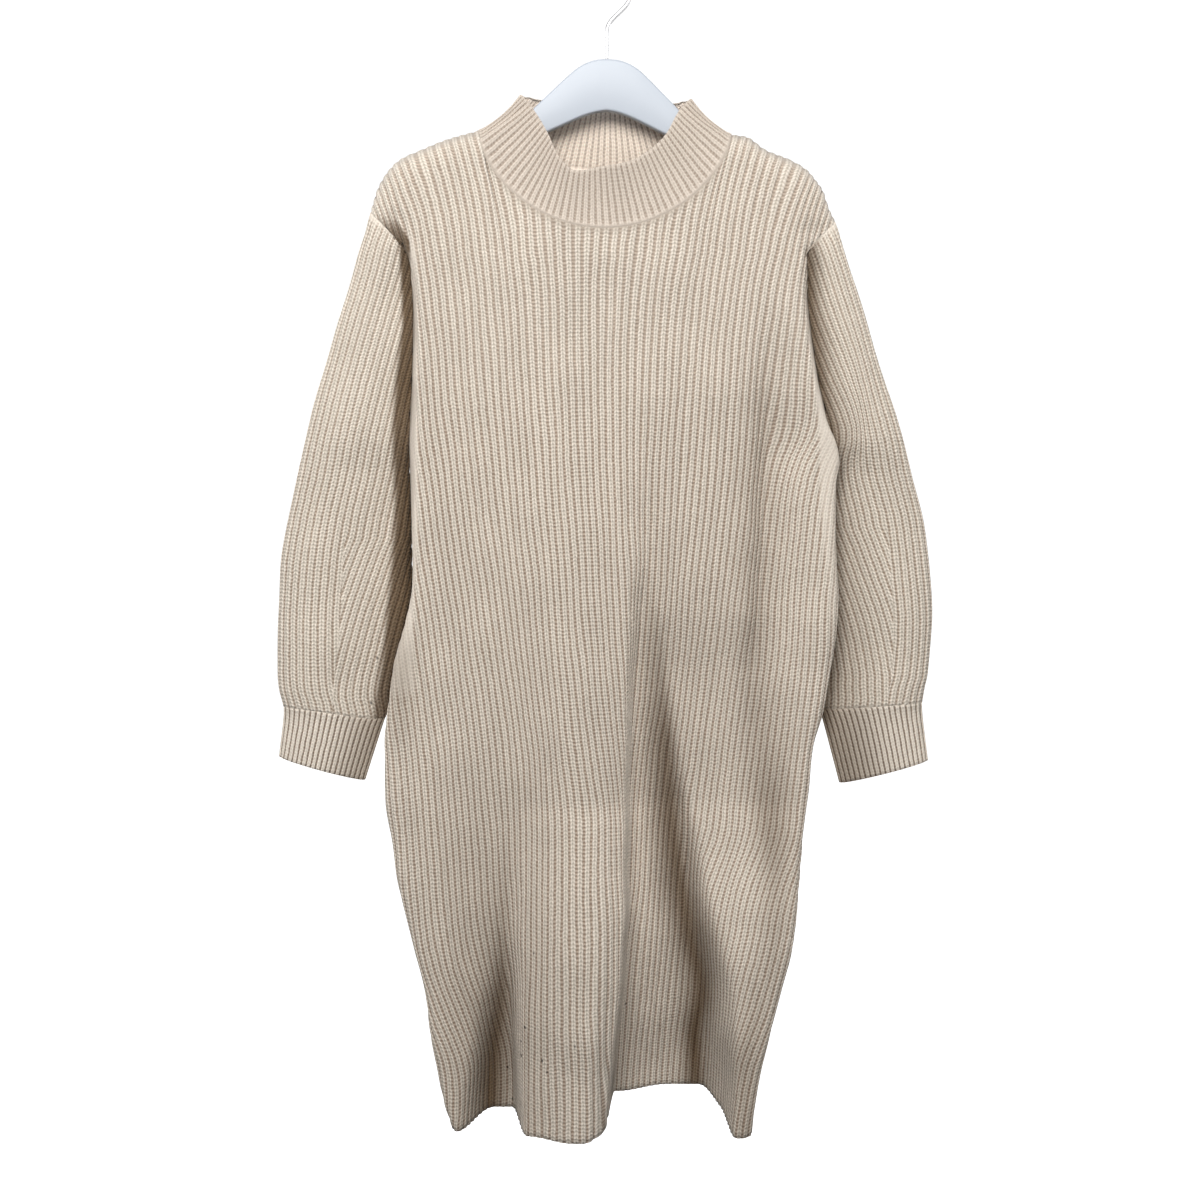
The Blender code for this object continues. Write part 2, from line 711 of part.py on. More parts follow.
def sleeve_grid(rows, seams, cuff, shoulder_level, half_columns, fan_shares, lower_rows):
    """Points of a sleeve's outer face, and the distance of each from the outer fold.

    The first row is the seam over the shoulder, the last the cuff seam. fan_shares run from 0
    at that first row to 1 at the underarm."""
    levels = np.arange(-768.0, shoulder_level + 1.1, 1.5)
    shares = np.linspace(-1, 1, 401)
    xs, ys, halves = [], [], []
    for z in levels:
        ring = sleeve_ring(z, rows, seams, shares)
        xs.append(ring[:, 0])
        ys.append(ring[:, 1])
        step = np.hypot(np.diff(ring[:, 0]), np.diff(ring[:, 1]))
        halves.append((step[:200].sum(), step[200:].sum()))
    xs, ys, halves = np.array(xs), np.array(ys), np.array(halves)
    arcs = np.linspace(-1, 1, 2 * half_columns + 1)

    def read(z, part):
        place = np.clip((z - levels[0]) / 1.5, 0, len(levels) - 1.001)
        low = place.astype(int)
        share = place - low
        across = np.clip((part + 1) * 200, 0, 399.999)
        near = across.astype(int)
        rest = across - near
        out = []
        for grid in (xs, ys):
            a = grid[low, near] * (1 - rest) + grid[low, near + 1] * rest
            b = grid[low + 1, near] * (1 - rest) + grid[low + 1, near + 1] * rest
            out.append(a * (1 - share) + b * share)
        half = np.where(
            part < 0,
            halves[low, 0] * (1 - share) + halves[low + 1, 0] * share,
            halves[low, 1] * (1 - share) + halves[low + 1, 1] * share,
        )
        return out[0], out[1], np.abs(part) * half

    join = shoulder_level + (YOKE_LEVEL - shoulder_level) * JOIN_SHARE
    off = math.copysign(SEAM_GAP, seams["x"][0])
    top = shoulder_level + (join - shoulder_level) * np.abs(arcs)
    grid, reach = [], []
    for share in fan_shares:
        z = top + (UNDERARM_LEVEL - top) * share
        # Columns start all along the seam and reach their own place round the sleeve soon below it.
        settle = np.clip(share / (0.75 * np.abs(arcs) + 0.02), 0, 1)
        part = np.abs(arcs) + (1 - np.abs(arcs)) * (1 - settle) ** 3
        x, y, s = read(z, part * np.where(arcs < 0, -1, 1))
        if share == 0:
            x = seam_line(seams, "x", z) + off
            y = np.where(arcs < 0, seam_line(seams, "front", z), seam_line(seams, "back", z))
        for j, name in ((0, "front"), (-1, "back")):
            x[j] = float(seam_line(seams, "x", z[j])) + off
            y[j] = float(seam_line(seams, name, z[j]))
        grid.append(np.column_stack([x, y, z]))
        reach.append(s)
    for share in np.linspace(0, 1, lower_rows + 1)[1:]:
        t = (1 - np.cos(math.pi * np.abs(arcs))) / 2
        end = cuff["z_out"][0] + (cuff["z_in"][0] - cuff["z_out"][0]) * t + SEAM_GAP
        z = UNDERARM_LEVEL + (end - UNDERARM_LEVEL) * share
        x, y, s = read(z, arcs)
        grid.append(np.column_stack([x, y, z]))
        reach.append(s)
    return np.array(grid), np.array(reach), arcs


def slit_normals(normals, points, merge):
    """Beside the armhole the sleeve's wall is moved straight back, so that it keeps off the body's wall."""
    for column in (0, -1):
        flat = ease((points[:merge, column, 2] + 430) / 60)
        normals[:merge, column, 0] *= 1 - flat
        normals[:merge, column] /= np.maximum(np.linalg.norm(normals[:merge, column], axis=1, keepdims=True), 1e-9)
    return normals


def level_normals(normals, row):
    """Along the cuff's seam both walls are moved in level, so that their rims stay apart."""
    normals[row, :, 2] = 0
    normals[row] /= np.maximum(np.linalg.norm(normals[row], axis=1, keepdims=True), 1e-9)
    return normals


def surface_normals(points, round_columns=False):
    """Unit normals of a grid of points, from its neighbours."""
    if round_columns:
        du = np.roll(points, -1, axis=1) - np.roll(points, 1, axis=1)
    else:
        du = np.gradient(points, axis=1)
    dv = np.gradient(points, axis=0)
    n = np.cross(du, dv)
    return n / np.maximum(np.linalg.norm(n, axis=2, keepdims=True), 1e-9)


def wall(name, outer, normals, thick, merge=None, ring=False):
    """A thin closed wall: the outer grid, the same grid moved in, and rims along its free edges.

    ring joins the last column to the first; merge does so only from that row down."""
    rows, columns = outer.shape[:2]
    inner = outer - normals * thick
    mesh = bpy.data.meshes.new(name)
    vertices, number = [], {}

    def index(layer, r, c):
        if (ring and c == columns) or (merge is not None and r >= merge and c == columns - 1):
            c = 0
        key = (layer, r, c)
        if key not in number:
            number[key] = len(vertices)
            vertices.append(tuple((outer, inner)[layer][r, c] * MM))
        return number[key]

    faces = []
    last = columns if ring else columns - 1
    for r in range(rows - 1):
        for c in range(last):
            for layer in (0, 1):
                quad = [index(layer, r, c), index(layer, r + 1, c), index(layer, r + 1, c + 1), index(layer, r, c + 1)]
                faces.append(quad if layer == 0 else quad[::-1])
    for c in range(last):
        faces.append([index(0, 0, c), index(0, 0, c + 1), index(1, 0, c + 1), index(1, 0, c)])
        faces.append([index(0, rows - 1, c + 1), index(0, rows - 1, c), index(1, rows - 1, c), index(1, rows - 1, c + 1)])
    if not ring:
        for r in range(rows - 1 if merge is None else merge):
            faces.append([index(0, r + 1, 0), index(0, r, 0), index(1, r, 0), index(1, r + 1, 0)])
            faces.append([index(0, r, columns - 1), index(0, r + 1, columns - 1), index(1, r + 1, columns - 1), index(1, r, columns - 1)])
    mesh.from_pydata(vertices, [], faces)
    shape = bmesh.new()
    shape.from_mesh(mesh)
    bmesh.ops.triangulate(shape, faces=shape.faces[:])
    bmesh.ops.recalc_face_normals(shape, faces=shape.faces[:])
    if shape.calc_volume(signed=True) < 0:
        bmesh.ops.reverse_faces(shape, faces=shape.faces[:])
    shape.to_mesh(mesh)
    shape.free()
    return add(name, mesh)


def add(name, mesh):
    mesh.shade_smooth()
    mesh.set_sharp_from_angle(angle=math.radians(50))
    obj = bpy.data.objects.new(name, mesh)
    bpy.context.scene.collection.objects.link(obj)
    return obj


def material(obj, colour, roughness, metallic=0.0):
    made = bpy.data.materials.new(obj.name)
    made.use_nodes = True
    shader = made.node_tree.nodes["Principled BSDF"]
    shader.inputs["Base Color"].default_value = (*colour, 1)
    shader.inputs["Roughness"].default_value = roughness
    shader.inputs["Metallic"].default_value = metallic
    obj.data.materials.append(made)


def cuff_points(first, cuff, rows, columns):
    """A cuff's outer surface, from the sleeve's last row to its own open end."""
    angle = np.linspace(0, 2 * math.pi, columns, endpoint=False)
    grid = []
    for share in np.linspace(0, 1, rows):
        x_out = cuff["x_out"][0] + (cuff["x_out"][1] - cuff["x_out"][0]) * share
        x_in = cuff["x_in"][0] + (cuff["x_in"][1] - cuff["x_in"][0]) * share
        z_out = cuff["z_out"][0] + (cuff["z_out"][1] - cuff["z_out"][0]) * share
        z_in = cuff["z_in"][0] + (cuff["z_in"][1] - cuff["z_in"][0]) * share
        y = cuff["y"][0] + (cuff["y"][1] - cuff["y"][0]) * share
        half = cuff["half"][0] + (cuff["half"][1] - cuff["half"][0]) * share
        t = (1 + np.cos(angle)) / 2
        row = np.column_stack([x_in + (x_out - x_in) * t, y + half * np.sin(angle), z_in + (z_out - z_in) * t])
        grid.append(row)
    grid = np.array(grid)
    # The seam end follows the sleeve and stands a seam's gap below it.
    gap = first - grid[0]
    fade = np.array([1.0, 0.45, 0.12] + [0.0] * (rows - 3))[:, None, None]
    grid = grid + gap[None] * fade
    grid[0, :, 2] -= SEAM_GAP
    return grid


def ring_from(points, columns):
    """A sleeve's last row, turned into a ring that starts at the outer fold and runs over the back."""
    n = points.shape[1] - 1
    middle = n // 2
    order = [(middle + k) % n for k in range(n)]
    ring = points[-1, order]
    assert len(ring) == columns
    return ring


def collar_points(front, back, left, right, rows):
    """The collar's outer surface: the first row is the rim, the last the neckline seam."""
    base = np.vstack([front[0, left : right + 1], back[0, left + 1 : right][::-1]])

    def rim(rows_of):
        fine = np.linspace(rows_of["x"][0], rows_of["x"][-1], 121)
        line = np.column_stack([fine, along(rows_of["y"], rows_of["x"], fine), along(rows_of["z"], rows_of["x"], fine)])
        length = np.concatenate([[0], np.cumsum(np.linalg.norm(np.diff(line, axis=0), axis=1))])
        return line, length

    def share_of(points):
        length = np.concatenate([[0], np.cumsum(np.linalg.norm(np.diff(points, axis=0), axis=1))])
        return length / length[-1]

    line, length = rim(COLLAR_FRONT)
    shares = share_of(front[0, left : right + 1])
    top_front = np.column_stack([np.interp(shares * length[-1], length, line[:, i]) for i in range(3)])
    line, length = rim(COLLAR_BACK)
    shares = share_of(back[0, left : right + 1])
    top_back = np.column_stack([np.interp(shares * length[-1], length, line[:, i]) for i in range(3)])
    top = np.vstack([top_front, top_back[1:-1][::-1]])
    grid = []
    lean = (top - base) / np.linalg.norm(top - base, axis=1, keepdims=True)
    start = base + lean * SEAM_GAP * 1.5
    for share in np.linspace(0, 1, rows):
        row = top + (start - top) * share
        # The two faces draw in a little at half height, clear of the hanger's arms.
        inwards = np.clip(np.abs(row[:, 1]) / 20, 0, 1) ** 2
        row[:, 1] -= np.sign(row[:, 1]) * math.sin(math.pi * share) * 2.5 * inwards
        clear = HANGER_THICK / 2 + CLOTH + 2.4
        off_fold = np.abs(base[:, 1]) > 1
        row[:, 1] = np.where(off_fold, np.sign(base[:, 1]) * np.maximum(np.abs(row[:, 1]), clear), row[:, 1])
        grid.append(row)
    return np.array(grid)


def hanger_body():
    """A flat plate with softened edges, lofted from its stations, the same to both sides."""
    stations = [(-HANGER["x"][i], i) for i in range(len(HANGER["x"]) - 1, 0, -1)]
    stations += [(HANGER["x"][i], i) for i in range(len(HANGER["x"]))]
    half, edge = HANGER_THICK / 2, HANGER_EDGE
    vertices, faces = [], []
    for x, i in stations:
        top, bottom = HANGER["top"][i], HANGER["bottom"][i]
        e = min(edge, (top - bottom) / 3)
        for y, z in (
            (-half + e, top),
            (-half, top - e),
            (-half, bottom + e),
            (-half + e, bottom),
            (half - e, bottom),
            (half, bottom + e),
            (half, top - e),
            (half - e, top),
        ):
            dip = math.radians(HANGER_TILT)
            drop = z - HANGER["top"][0]
            across = x * math.cos(dip) + drop * math.sin(dip)
            height = HANGER["top"][0] + drop * math.cos(dip) - x * math.sin(dip)
            vertices.append(((across + HANGER_MIDDLE) * MM, y * MM, height * MM))
    for i in range(len(stations) - 1):
        for k in range(8):
            a, b = i * 8 + k, i * 8 + (k + 1) % 8
            faces.append([a, b, b + 8, a + 8])
    faces.append(list(range(8))[::-1])
    faces.append([(len(stations) - 1) * 8 + k for k in range(8)])
    mesh = bpy.data.meshes.new("hanger_body")
    mesh.from_pydata(vertices, [], faces)
    shape = bmesh.new()
    shape.from_mesh(mesh)
    bmesh.ops.triangulate(shape, faces=shape.faces[:])
    bmesh.ops.recalc_face_normals(shape, faces=shape.faces[:])
    shape.to_mesh(mesh)
    shape.free()
    return add("hanger_body", mesh)


def hanger_hook():
    """Round wire: a stem out of the hanger, a sweep to one side and a loop over the rail."""
    centre_z = WIRE_RADIUS - HOOK_RADIUS
    join, tip = math.radians(-23), math.radians(203)
    stem = [(0.0, -91.4), (0.0, -84.0), (0.0, -76.0), (0.0, -68.0)]
    start = np.array([0.0, -66.0])
    end = np.array([HOOK_RADIUS * math.cos(join), centre_z + HOOK_RADIUS * math.sin(join)])
    lead_in = np.array([0.0, 15.0])
    lead_out = np.array([-math.sin(join), math.cos(join)]) * 17.0
    points = list(stem)
    for t in np.linspace(0.08, 1, 12):
        a, b, c, d = start, start + lead_in, end - lead_out, end
        p = (1 - t) ** 3 * a + 3 * (1 - t) ** 2 * t * b + 3 * (1 - t) * t * t * c + t**3 * d
        points.append(tuple(p))
    for angle in np.linspace(join, tip, 26)[1:]:
        points.append((HOOK_RADIUS * math.cos(angle), centre_z + HOOK_RADIUS * math.sin(angle)))
    data = bpy.data.curves.new("hanger_hook", "CURVE")
    data.dimensions = "3D"
    data.bevel_depth = WIRE_RADIUS * MM
    data.bevel_resolution = 2
    data.use_fill_caps = True
    line = data.splines.new("POLY")
    line.points.add(len(points) - 1)
    for point, (x, z) in zip(line.points, points):
        point.co = (x * MM, 0.0, z * MM, 1.0)
    obj = bpy.data.objects.new("hanger_hook", data)
    bpy.context.scene.collection.objects.link(obj)
    return obj


def side_normals(normals, points, rows):
    """Along the seams that join front and back, both walls are moved straight in from the side."""
    for column, sign in ((0, -1.0), (-1, 1.0)):
        normals[:, column] = (sign, 0, 0)
    return normals


def top_normals(normals, points, left, right):
    """Along the shoulder's top fold the wall is moved straight down from the fold."""
    columns = points.shape[1]
    for j in range(columns):
        if j <= left or j >= right:
            a, b = points[0, max(j - 1, 0)], points[0, min(j + 1, columns - 1)]
            if j == left:
                b = points[0, j]
            if j == right:
                a = points[0, j]
            dx, dz = b[0] - a[0], b[2] - a[2]
            size = math.hypot(dx, dz)
            normals[0, j] = (-dz / size, 0, dx / size)
    return normals


def main():
    for obj in list(bpy.data.objects):
        bpy.data.objects.remove(obj)

    ribs = np.concatenate(
        [
            np.linspace(-HALF_RIBS, NECK_LEFT_RIB, 11),
            (-9.3, -7.2, -4.9, -2.5, 0, 2.5, 5, 7.5, 10.2, 12.9, NECK_RIGHT_RIB),
            np.linspace(NECK_RIGHT_RIB, HALF_RIBS, 10)[1:],
        ]
    )
    yoke_rows = (0, 0.06, 0.16, JOIN_SHARE, 0.66, 1.0)
    body_levels = (-330, -365, -400, -432, -462, -500, -540, -580, -620, -660, -700, -740, -780, -820, -860, -900, -936, -972, -1008, -1044, -1080, -1112, -1140)

    panels = {}
    for side in ("front", "back"):
        points, _, left, right = panel_grid(side, ribs, yoke_rows, body_levels[1:], 1.5)
        if side == "back":
            normals = -surface_normals(points)
        else:
            normals = surface_normals(points)
        centre = len(ribs) // 2
        if normals[8, centre, 1] * (-1 if side == "front" else 1) < 0:
            normals = -normals
        normals = top_normals(side_normals(normals, points, None), points, left, right)
        panels[side] = (points, normals)
        obj = wall(side, points, normals, CLOTH)
        material(obj, (0.76, 0.66, 0.55), 0.9)

    columns = 17
    for name, rows, seams, cuff, level in (
        ("left", SLEEVE_LEFT, SEAM_LEFT, CUFF_LEFT, SHOULDER_LEVEL_LEFT),
        ("right", SLEEVE_RIGHT, SEAM_RIGHT, CUFF_RIGHT, SHOULDER_LEVEL_RIGHT),
    ):
        join = level + (YOKE_LEVEL - level) * JOIN_SHARE
        second = level + (YOKE_LEVEL - level) * 0.66
        slit = np.array([join, second, -330, -365, -400, -432, -462])
        fan_shares = (slit - join) / (UNDERARM_LEVEL - join)
        points, _, _ = sleeve_grid(rows, seams, cuff, level, (columns - 1) // 2, fan_shares, 9)
        merge = len(slit) - 1
        points[merge:, -1] = points[merge:, 0]
        normals = surface_normals(points)
        ringed = points[merge:, :-1]
        lower = surface_normals(np.concatenate([ringed[:1], ringed], axis=0), round_columns=True)[1:]
        normals[merge:, :-1] = lower
        normals[merge:, -1] = lower[:, 0]
        outward = points[merge + 4, 0, 0] - points[merge + 4, columns // 2, 0]
        if normals[merge + 4, 0, 0] * outward < 0:
            normals = -normals
        normals = level_normals(slit_normals(normals, points, merge), -1)
        # Along the seam over the shoulder the wall is moved in within the seam's own plane.
        edge = points[0, columns // 2] - points[0, 0]
        across = np.array([edge[2], 0.0, -edge[0]]) / math.hypot(edge[0], edge[2])
        normals[0] -= np.outer(normals[0] @ across, across)
        normals[0] /= np.linalg.norm(normals[0], axis=1, keepdims=True)
        obj = wall("sleeve_" + name, points, normals, CLOTH, merge=merge)
        material(obj, (0.76, 0.66, 0.55), 0.9)

        first = ring_from(points, columns - 1)
        ring = cuff_points(first, cuff, 5, columns - 1)
        normals = surface_normals(ring, round_columns=True)
        if normals[2, 0, 0] * (ring[2, 0, 0] - ring[2, (columns - 1) // 2, 0]) < 0:
            normals = -normals
        obj = wall("cuff_" + name, ring, level_normals(normals, 0), CUFF_CLOTH, ring=True)
        material(obj, (0.74, 0.65, 0.55), 0.9)

    collar = collar_points(panels["front"][0], panels["back"][0], left, right, 5)
    normals = surface_normals(collar, round_columns=True)
    if normals[2, (right - left) // 2, 1] > 0:
        normals = -normals
    # At the neckline the collar's rim lies along the panels' rims.
    normals[-1] = np.vstack([panels["front"][1][0, left : right + 1], panels["back"][1][0, left + 1 : right][::-1]])
    obj = wall("collar", collar, normals, CLOTH, ring=True)
    material(obj, (0.78, 0.68, 0.57), 0.9)

    material(hanger_body(), (0.80, 0.83, 0.87), 0.35)
    material(hanger_hook(), (0.62, 0.62, 0.64), 0.25, 1.0)


main()
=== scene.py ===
"""Looks of the ribbed sweater dress on its hanger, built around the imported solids.

The dress's pieces repeat the solids' own form: sections worked out from the same sizes, in
millimetres in the same frame, here with every rib of the knit in the mesh and the stitches
in the material. X runs to the viewer's right, Y away from the viewer and Z up.
"""

import math

import bmesh
import bpy
import numpy as np
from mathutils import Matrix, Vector
from mathutils.bvhtree import BVHTree


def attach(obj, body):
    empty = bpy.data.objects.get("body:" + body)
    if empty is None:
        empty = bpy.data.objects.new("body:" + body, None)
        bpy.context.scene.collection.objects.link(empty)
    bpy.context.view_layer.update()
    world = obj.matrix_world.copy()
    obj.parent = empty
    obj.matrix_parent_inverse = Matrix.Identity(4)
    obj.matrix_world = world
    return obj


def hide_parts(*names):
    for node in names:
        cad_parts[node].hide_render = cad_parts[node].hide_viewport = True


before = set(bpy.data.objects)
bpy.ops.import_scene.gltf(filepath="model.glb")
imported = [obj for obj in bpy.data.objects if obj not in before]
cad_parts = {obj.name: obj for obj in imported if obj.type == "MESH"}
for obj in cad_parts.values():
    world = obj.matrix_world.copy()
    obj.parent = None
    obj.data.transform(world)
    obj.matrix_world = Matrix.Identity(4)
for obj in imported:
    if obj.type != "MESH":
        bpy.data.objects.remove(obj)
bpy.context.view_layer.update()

MM = 0.001
CLOTH = 2.8  # wall of the rib knit
CUFF_CLOTH = 2.6
SEAM_GAP = 0.5  # clear space between two pieces at a seam
HANGER_THICK = 12.0
HANGER_EDGE = 2.5
WIRE_RADIUS = 2.2
HOOK_RADIUS = 25.0

HALF_RIBS = 38  # columns from the plumb wale to a side seam
NECK_LEFT_RIB = -10.5
NECK_RIGHT_RIB = 14.0
SHOULDER_LEVEL_LEFT = -241.0
SHOULDER_LEVEL_RIGHT = -250.0
YOKE_LEVEL = -330.0
YOKE_FLAT = -284.0  # above this level wales run to their own points of the top edge
JOIN_SHARE = 0.37  # how far down the yoke the armhole turns from the shoulder to the side
UNDERARM_LEVEL = -462.0
HEM_LEVEL = -1136.0
HEM_SWING = 0.28  # how far the hem drops for each millimetre that a fold stands forward
BACK_HEM_LEVEL = -1131.0
BACK_HEM_SWING = 0.06
SHOULDER_ROUND = 24.0


def table(columns, *rows):
    """Named columns, one row for each section or fold, as arrays."""
    names = columns.split()
    return {name: np.array([row[i] for row in rows], float) for i, name in enumerate(names)}


# The shoulder's top fold, from the neck point out to the shoulder point.
SHOULDER_LEFT = table(
    "x z",
    (-234, -241),
    (-227, -219),
    (-222, -209),
    (-215, -199),
    (-204, -189),
    (-184, -180),
    (-159, -170),
    (-127, -161),
)
SHOULDER_RIGHT = table(
    "x z",
    (123, -165),
    (137, -167),
    (157, -180),
    (180, -189),
    (197, -199),
    (206, -209),
    (213, -219),
    (220, -238),
    (226, -250),
)
# Necklines: each falls from the neck points as a flattened arch.
NECK_CENTRE = -2.0
NECK_HALF = 125.0
NECK_TOP = -163.0
FRONT_NECK_DROP = 96.0
BACK_NECK_DROP = 34.0
NECK_POWER = 0.62

# Where the front face turns into the side, each row a level.
EDGE_LEFT = table(
    "z x round",
    (-1165, -150, 6),
    (-1122, -163, 8),
    (-1072, -173, 9),
    (-1022, -181, 10),
    (-973, -193, 10),
    (-923, -205, 10),
    (-873, -214, 10),
    (-823, -221, 10),
    (-773, -222, 10),
    (-723, -217, 9),
    (-693, -213, 9),
    (-643, -199, 9),
    (-610, -193, 8),
    (-500, -191, 8),
    (-400, -188.5, 8),
    (-309, -187.5, 8),
    (-274, -191, 5),
    (-255, -207, 1.5),
    (-241, -229, 0.5),
)
EDGE_RIGHT = table(
    "z x round",
    (-1165, 143, 9),
    (-1142, 145, 9),
    (-1116, 149, 8),
    (-1067, 159, 8),
    (-1019, 171, 9),
    (-970, 184, 9),
    (-921, 190, 9),
    (-871, 195, 9),
    (-822, 201, 9),
    (-772, 207, 9),
    (-722, 219, 9),
    (-692, 224, 9),
    (-623, 230, 9),
    (-583, 228, 9),
    (-490, 226, 8),
    (-468, 214, 8),
    (-450, 203, 8),
    (-426, 199, 8),
    (-380, 196, 8),
    (-309, 192.5, 8),
    (-276, 189, 5),
    (-262, 207, 1.5),
    (-250, 222, 0.5),
)
# Armhole edge down to the underarm, side seam below it.
SEAM_LEFT = table(
    "z x front back",
    (-1165, -138, -14, -14),
    (-1100, -155, -8, -8),
    (-1000, -172, 0, 0),
    (-850, -199, 6, 6),
    (-773, -204, 6, 6),
    (-693, -199, 5, 5),
    (-623, -195, 4, 4),
    (-500, -197, 3, 3),
    (-462, -198, 3, 3),
    (-440, -196.5, 2, 8),
    (-400, -194, 1, 12),
    (-330, -192.5, -1, 14),
    (-299, -192.8, -7, 15),
    (-273.93, -199, -16, 16),
    (-241, -234, 0, 0),
)
SEAM_RIGHT = table(
    "z x front back",
    (-1165, 132, -22, -22),
    (-1100, 143, -16, -16),
    (-1000, 165, -4, -4),
    (-850, 188, 6, 6),
    (-773, 196, 7, 7),
    (-693, 206, 7, 7),
    (-623, 208, 6, 6),
    (-500, 206, 5, 5),
    (-462, 205, 4, 4),
    (-440, 203.5, 2, 9),
    (-400, 201.5, 1, 12),
    (-330, 198, -1, 14),
    (-299, 197, -7, 15),
    (-279.6, 196, -15, 16),
    (-250, 226, 0, 0),
)
BACK_EDGE_LEFT = table(
    "z x round",
    (-1165, -142, 10),
    (-1072, -163, 12),
    (-973, -181, 14),
    (-873, -198, 14),
    (-773, -202, 14),
    (-643, -194, 12),
    (-500, -190, 10),
    (-309, -188, 8),
    (-274, -192, 5),
    (-255, -207, 1.5),
    (-241, -229, 0.5),
)
BACK_EDGE_RIGHT = table(
    "z x round",
    (-1165, 136, 10),
    (-1067, 152, 12),
    (-970, 172, 14),
    (-871, 186, 14),
    (-772, 196, 14),
    (-643, 200, 12),
    (-500, 199, 10),
    (-309, 193, 8),
    (-276, 189.5, 5),
    (-262, 207, 1.5),
    (-250, 222, 0.5),
)
# How far each face stands off the hanger's plane beside its left edge.
DEPTH = table(
    "z front back",
    (-1165, 61, 48),
    (-1050, 50, 46),
    (-950, 42, 44),
    (-850, 36, 40),
    (-720, 34, 36),
    (-600, 32, 32),
    (-480, 28, 29),
    (-300, 24, 26),
    (-200, 21, 22),
)


def fold(*rows):
    """One side of a fold: where it lies, how wide it is, and how far it steps back."""
    return table("z x run back", *rows)


FRONT_FOLDS = {
    "left_corner": fold(
        (-1165, -134, 44, 42),
        (-1100, -128, 38, 38),
        (-1050, -121, 36, 28),
        (-950, -106, 50, 10),
        (-850, -95, 60, 0),
    ),
    "bulge_left": fold(
        (-1165, -87, 18, -48),
        (-1060, -90, 22, -42),
        (-1000, -90, 26, -32),
        (-930, -89, 30, -18),
        (-830, -80, 44, 0),
    ),
    "bulge_crown": fold(
        (-1165, -58, 60, -12),
        (-1060, -60, 60, -11),
        (-960, -60, 60, -8),
        (-840, -56, 60, 0),
    ),
    "bulge_round": fold(
        (-1165, -12, 28, 18),
        (-1050, -3, 30, 17),
        (-950, 4, 32, 11),
        (-850, 6, 34, 6),
        (-720, 8, 34, 3),
        (-640, 10, 34, 0),
    ),
    "bulge_right": fold(
        (-1165, 0, 12, 68),
        (-1110, 5, 12, 64),
        (-1050, 11, 12, 56),
        (-950, 18, 11, 44),
        (-850, 20, 11, 36),
        (-720, 22, 13, 27),
        (-650, 27, 20, 21),
        (-580, 33, 26, 14),
        (-480, 34, 30, 6),
        (-420, 34, 30, 0),
    ),
    "hollow": fold(
        (-1165, 32, 60, 12),
        (-1000, 60, 76, 14),
        (-850, 50, 64, 12),
        (-720, 44, 50, 7),
        (-640, 44, 50, 0),
    ),
    "valley_right": fold(
        (-1165, 110, 36, -50),
        (-1090, 112, 38, -54),
        (-1020, 110, 38, -48),
        (-950, 98, 34, -40),
        (-880, 86, 28, -24),
        (-800, 72, 20, -12),
        (-740, 62, 18, -5),
        (-690, 56, 18, 0),
    ),
    "valley_lip": fold(
        (-1165, 121, 13, -40),
        (-1090, 124, 18, -26),
        (-1020, 124, 22, -12),
        (-950, 118, 26, 0),
    ),
    "right_rise": fold(
        (-1165, 120, 60, 0),
        (-1050, 130, 80, -6),
        (-950, 132, 90, -20),
        (-850, 132, 110, -28),
        (-720, 134, 120, -28),
        (-600, 130, 120, -12),
        (-480, 130, 120, 0),
    ),
    "chest_pleat": fold(
        (-940, 138, 36, 0),
        (-860, 140, 34, 6),
        (-720, 138, 30, 10),
        (-620, 147, 24, 17),
        (-480, 150, 22, 17),
        (-390, 148, 26, 9),
        (-330, 146, 30, 0),
    ),
    "chest_pleat_out": fold(
        (-940, 172, 50, 0),
        (-860, 176, 50, -6),
        (-720, 184, 60, -10),
        (-620, 190, 60, -17),
        (-480, 180, 46, -17),
        (-390, 176, 46, -9),
        (-330, 170, 46, 0),
    ),
}
BACK_FOLDS = {
    "left_out": fold(
        (-1165, -98, 30, 46),
        (-1040, -104, 40, 30),
        (-900, -108, 60, 12),
        (-760, -108, 70, 0),
    ),
    "left_in": fold(
        (-1165, -46, 26, -42),
        (-1040, -42, 36, -28),
        (-900, -36, 50, -13),
        (-700, -30, 60, -3),
        (-600, -30, 60, 0),
    ),
    "right_out": fold(
        (-1165, 46, 30, 44),
        (-1040, 44, 40, 30),
        (-880, 40, 56, 16),
        (-680, 36, 60, 5),
        (-520, 36, 60, 0),
    ),
    "right_in": fold(
        (-1165, 106, 24, -50),
        (-1040, 110, 34, -34),
        (-900, 120, 50, -16),
        (-740, 126, 60, -3),
        (-640, 126, 60, 0),
    ),
}

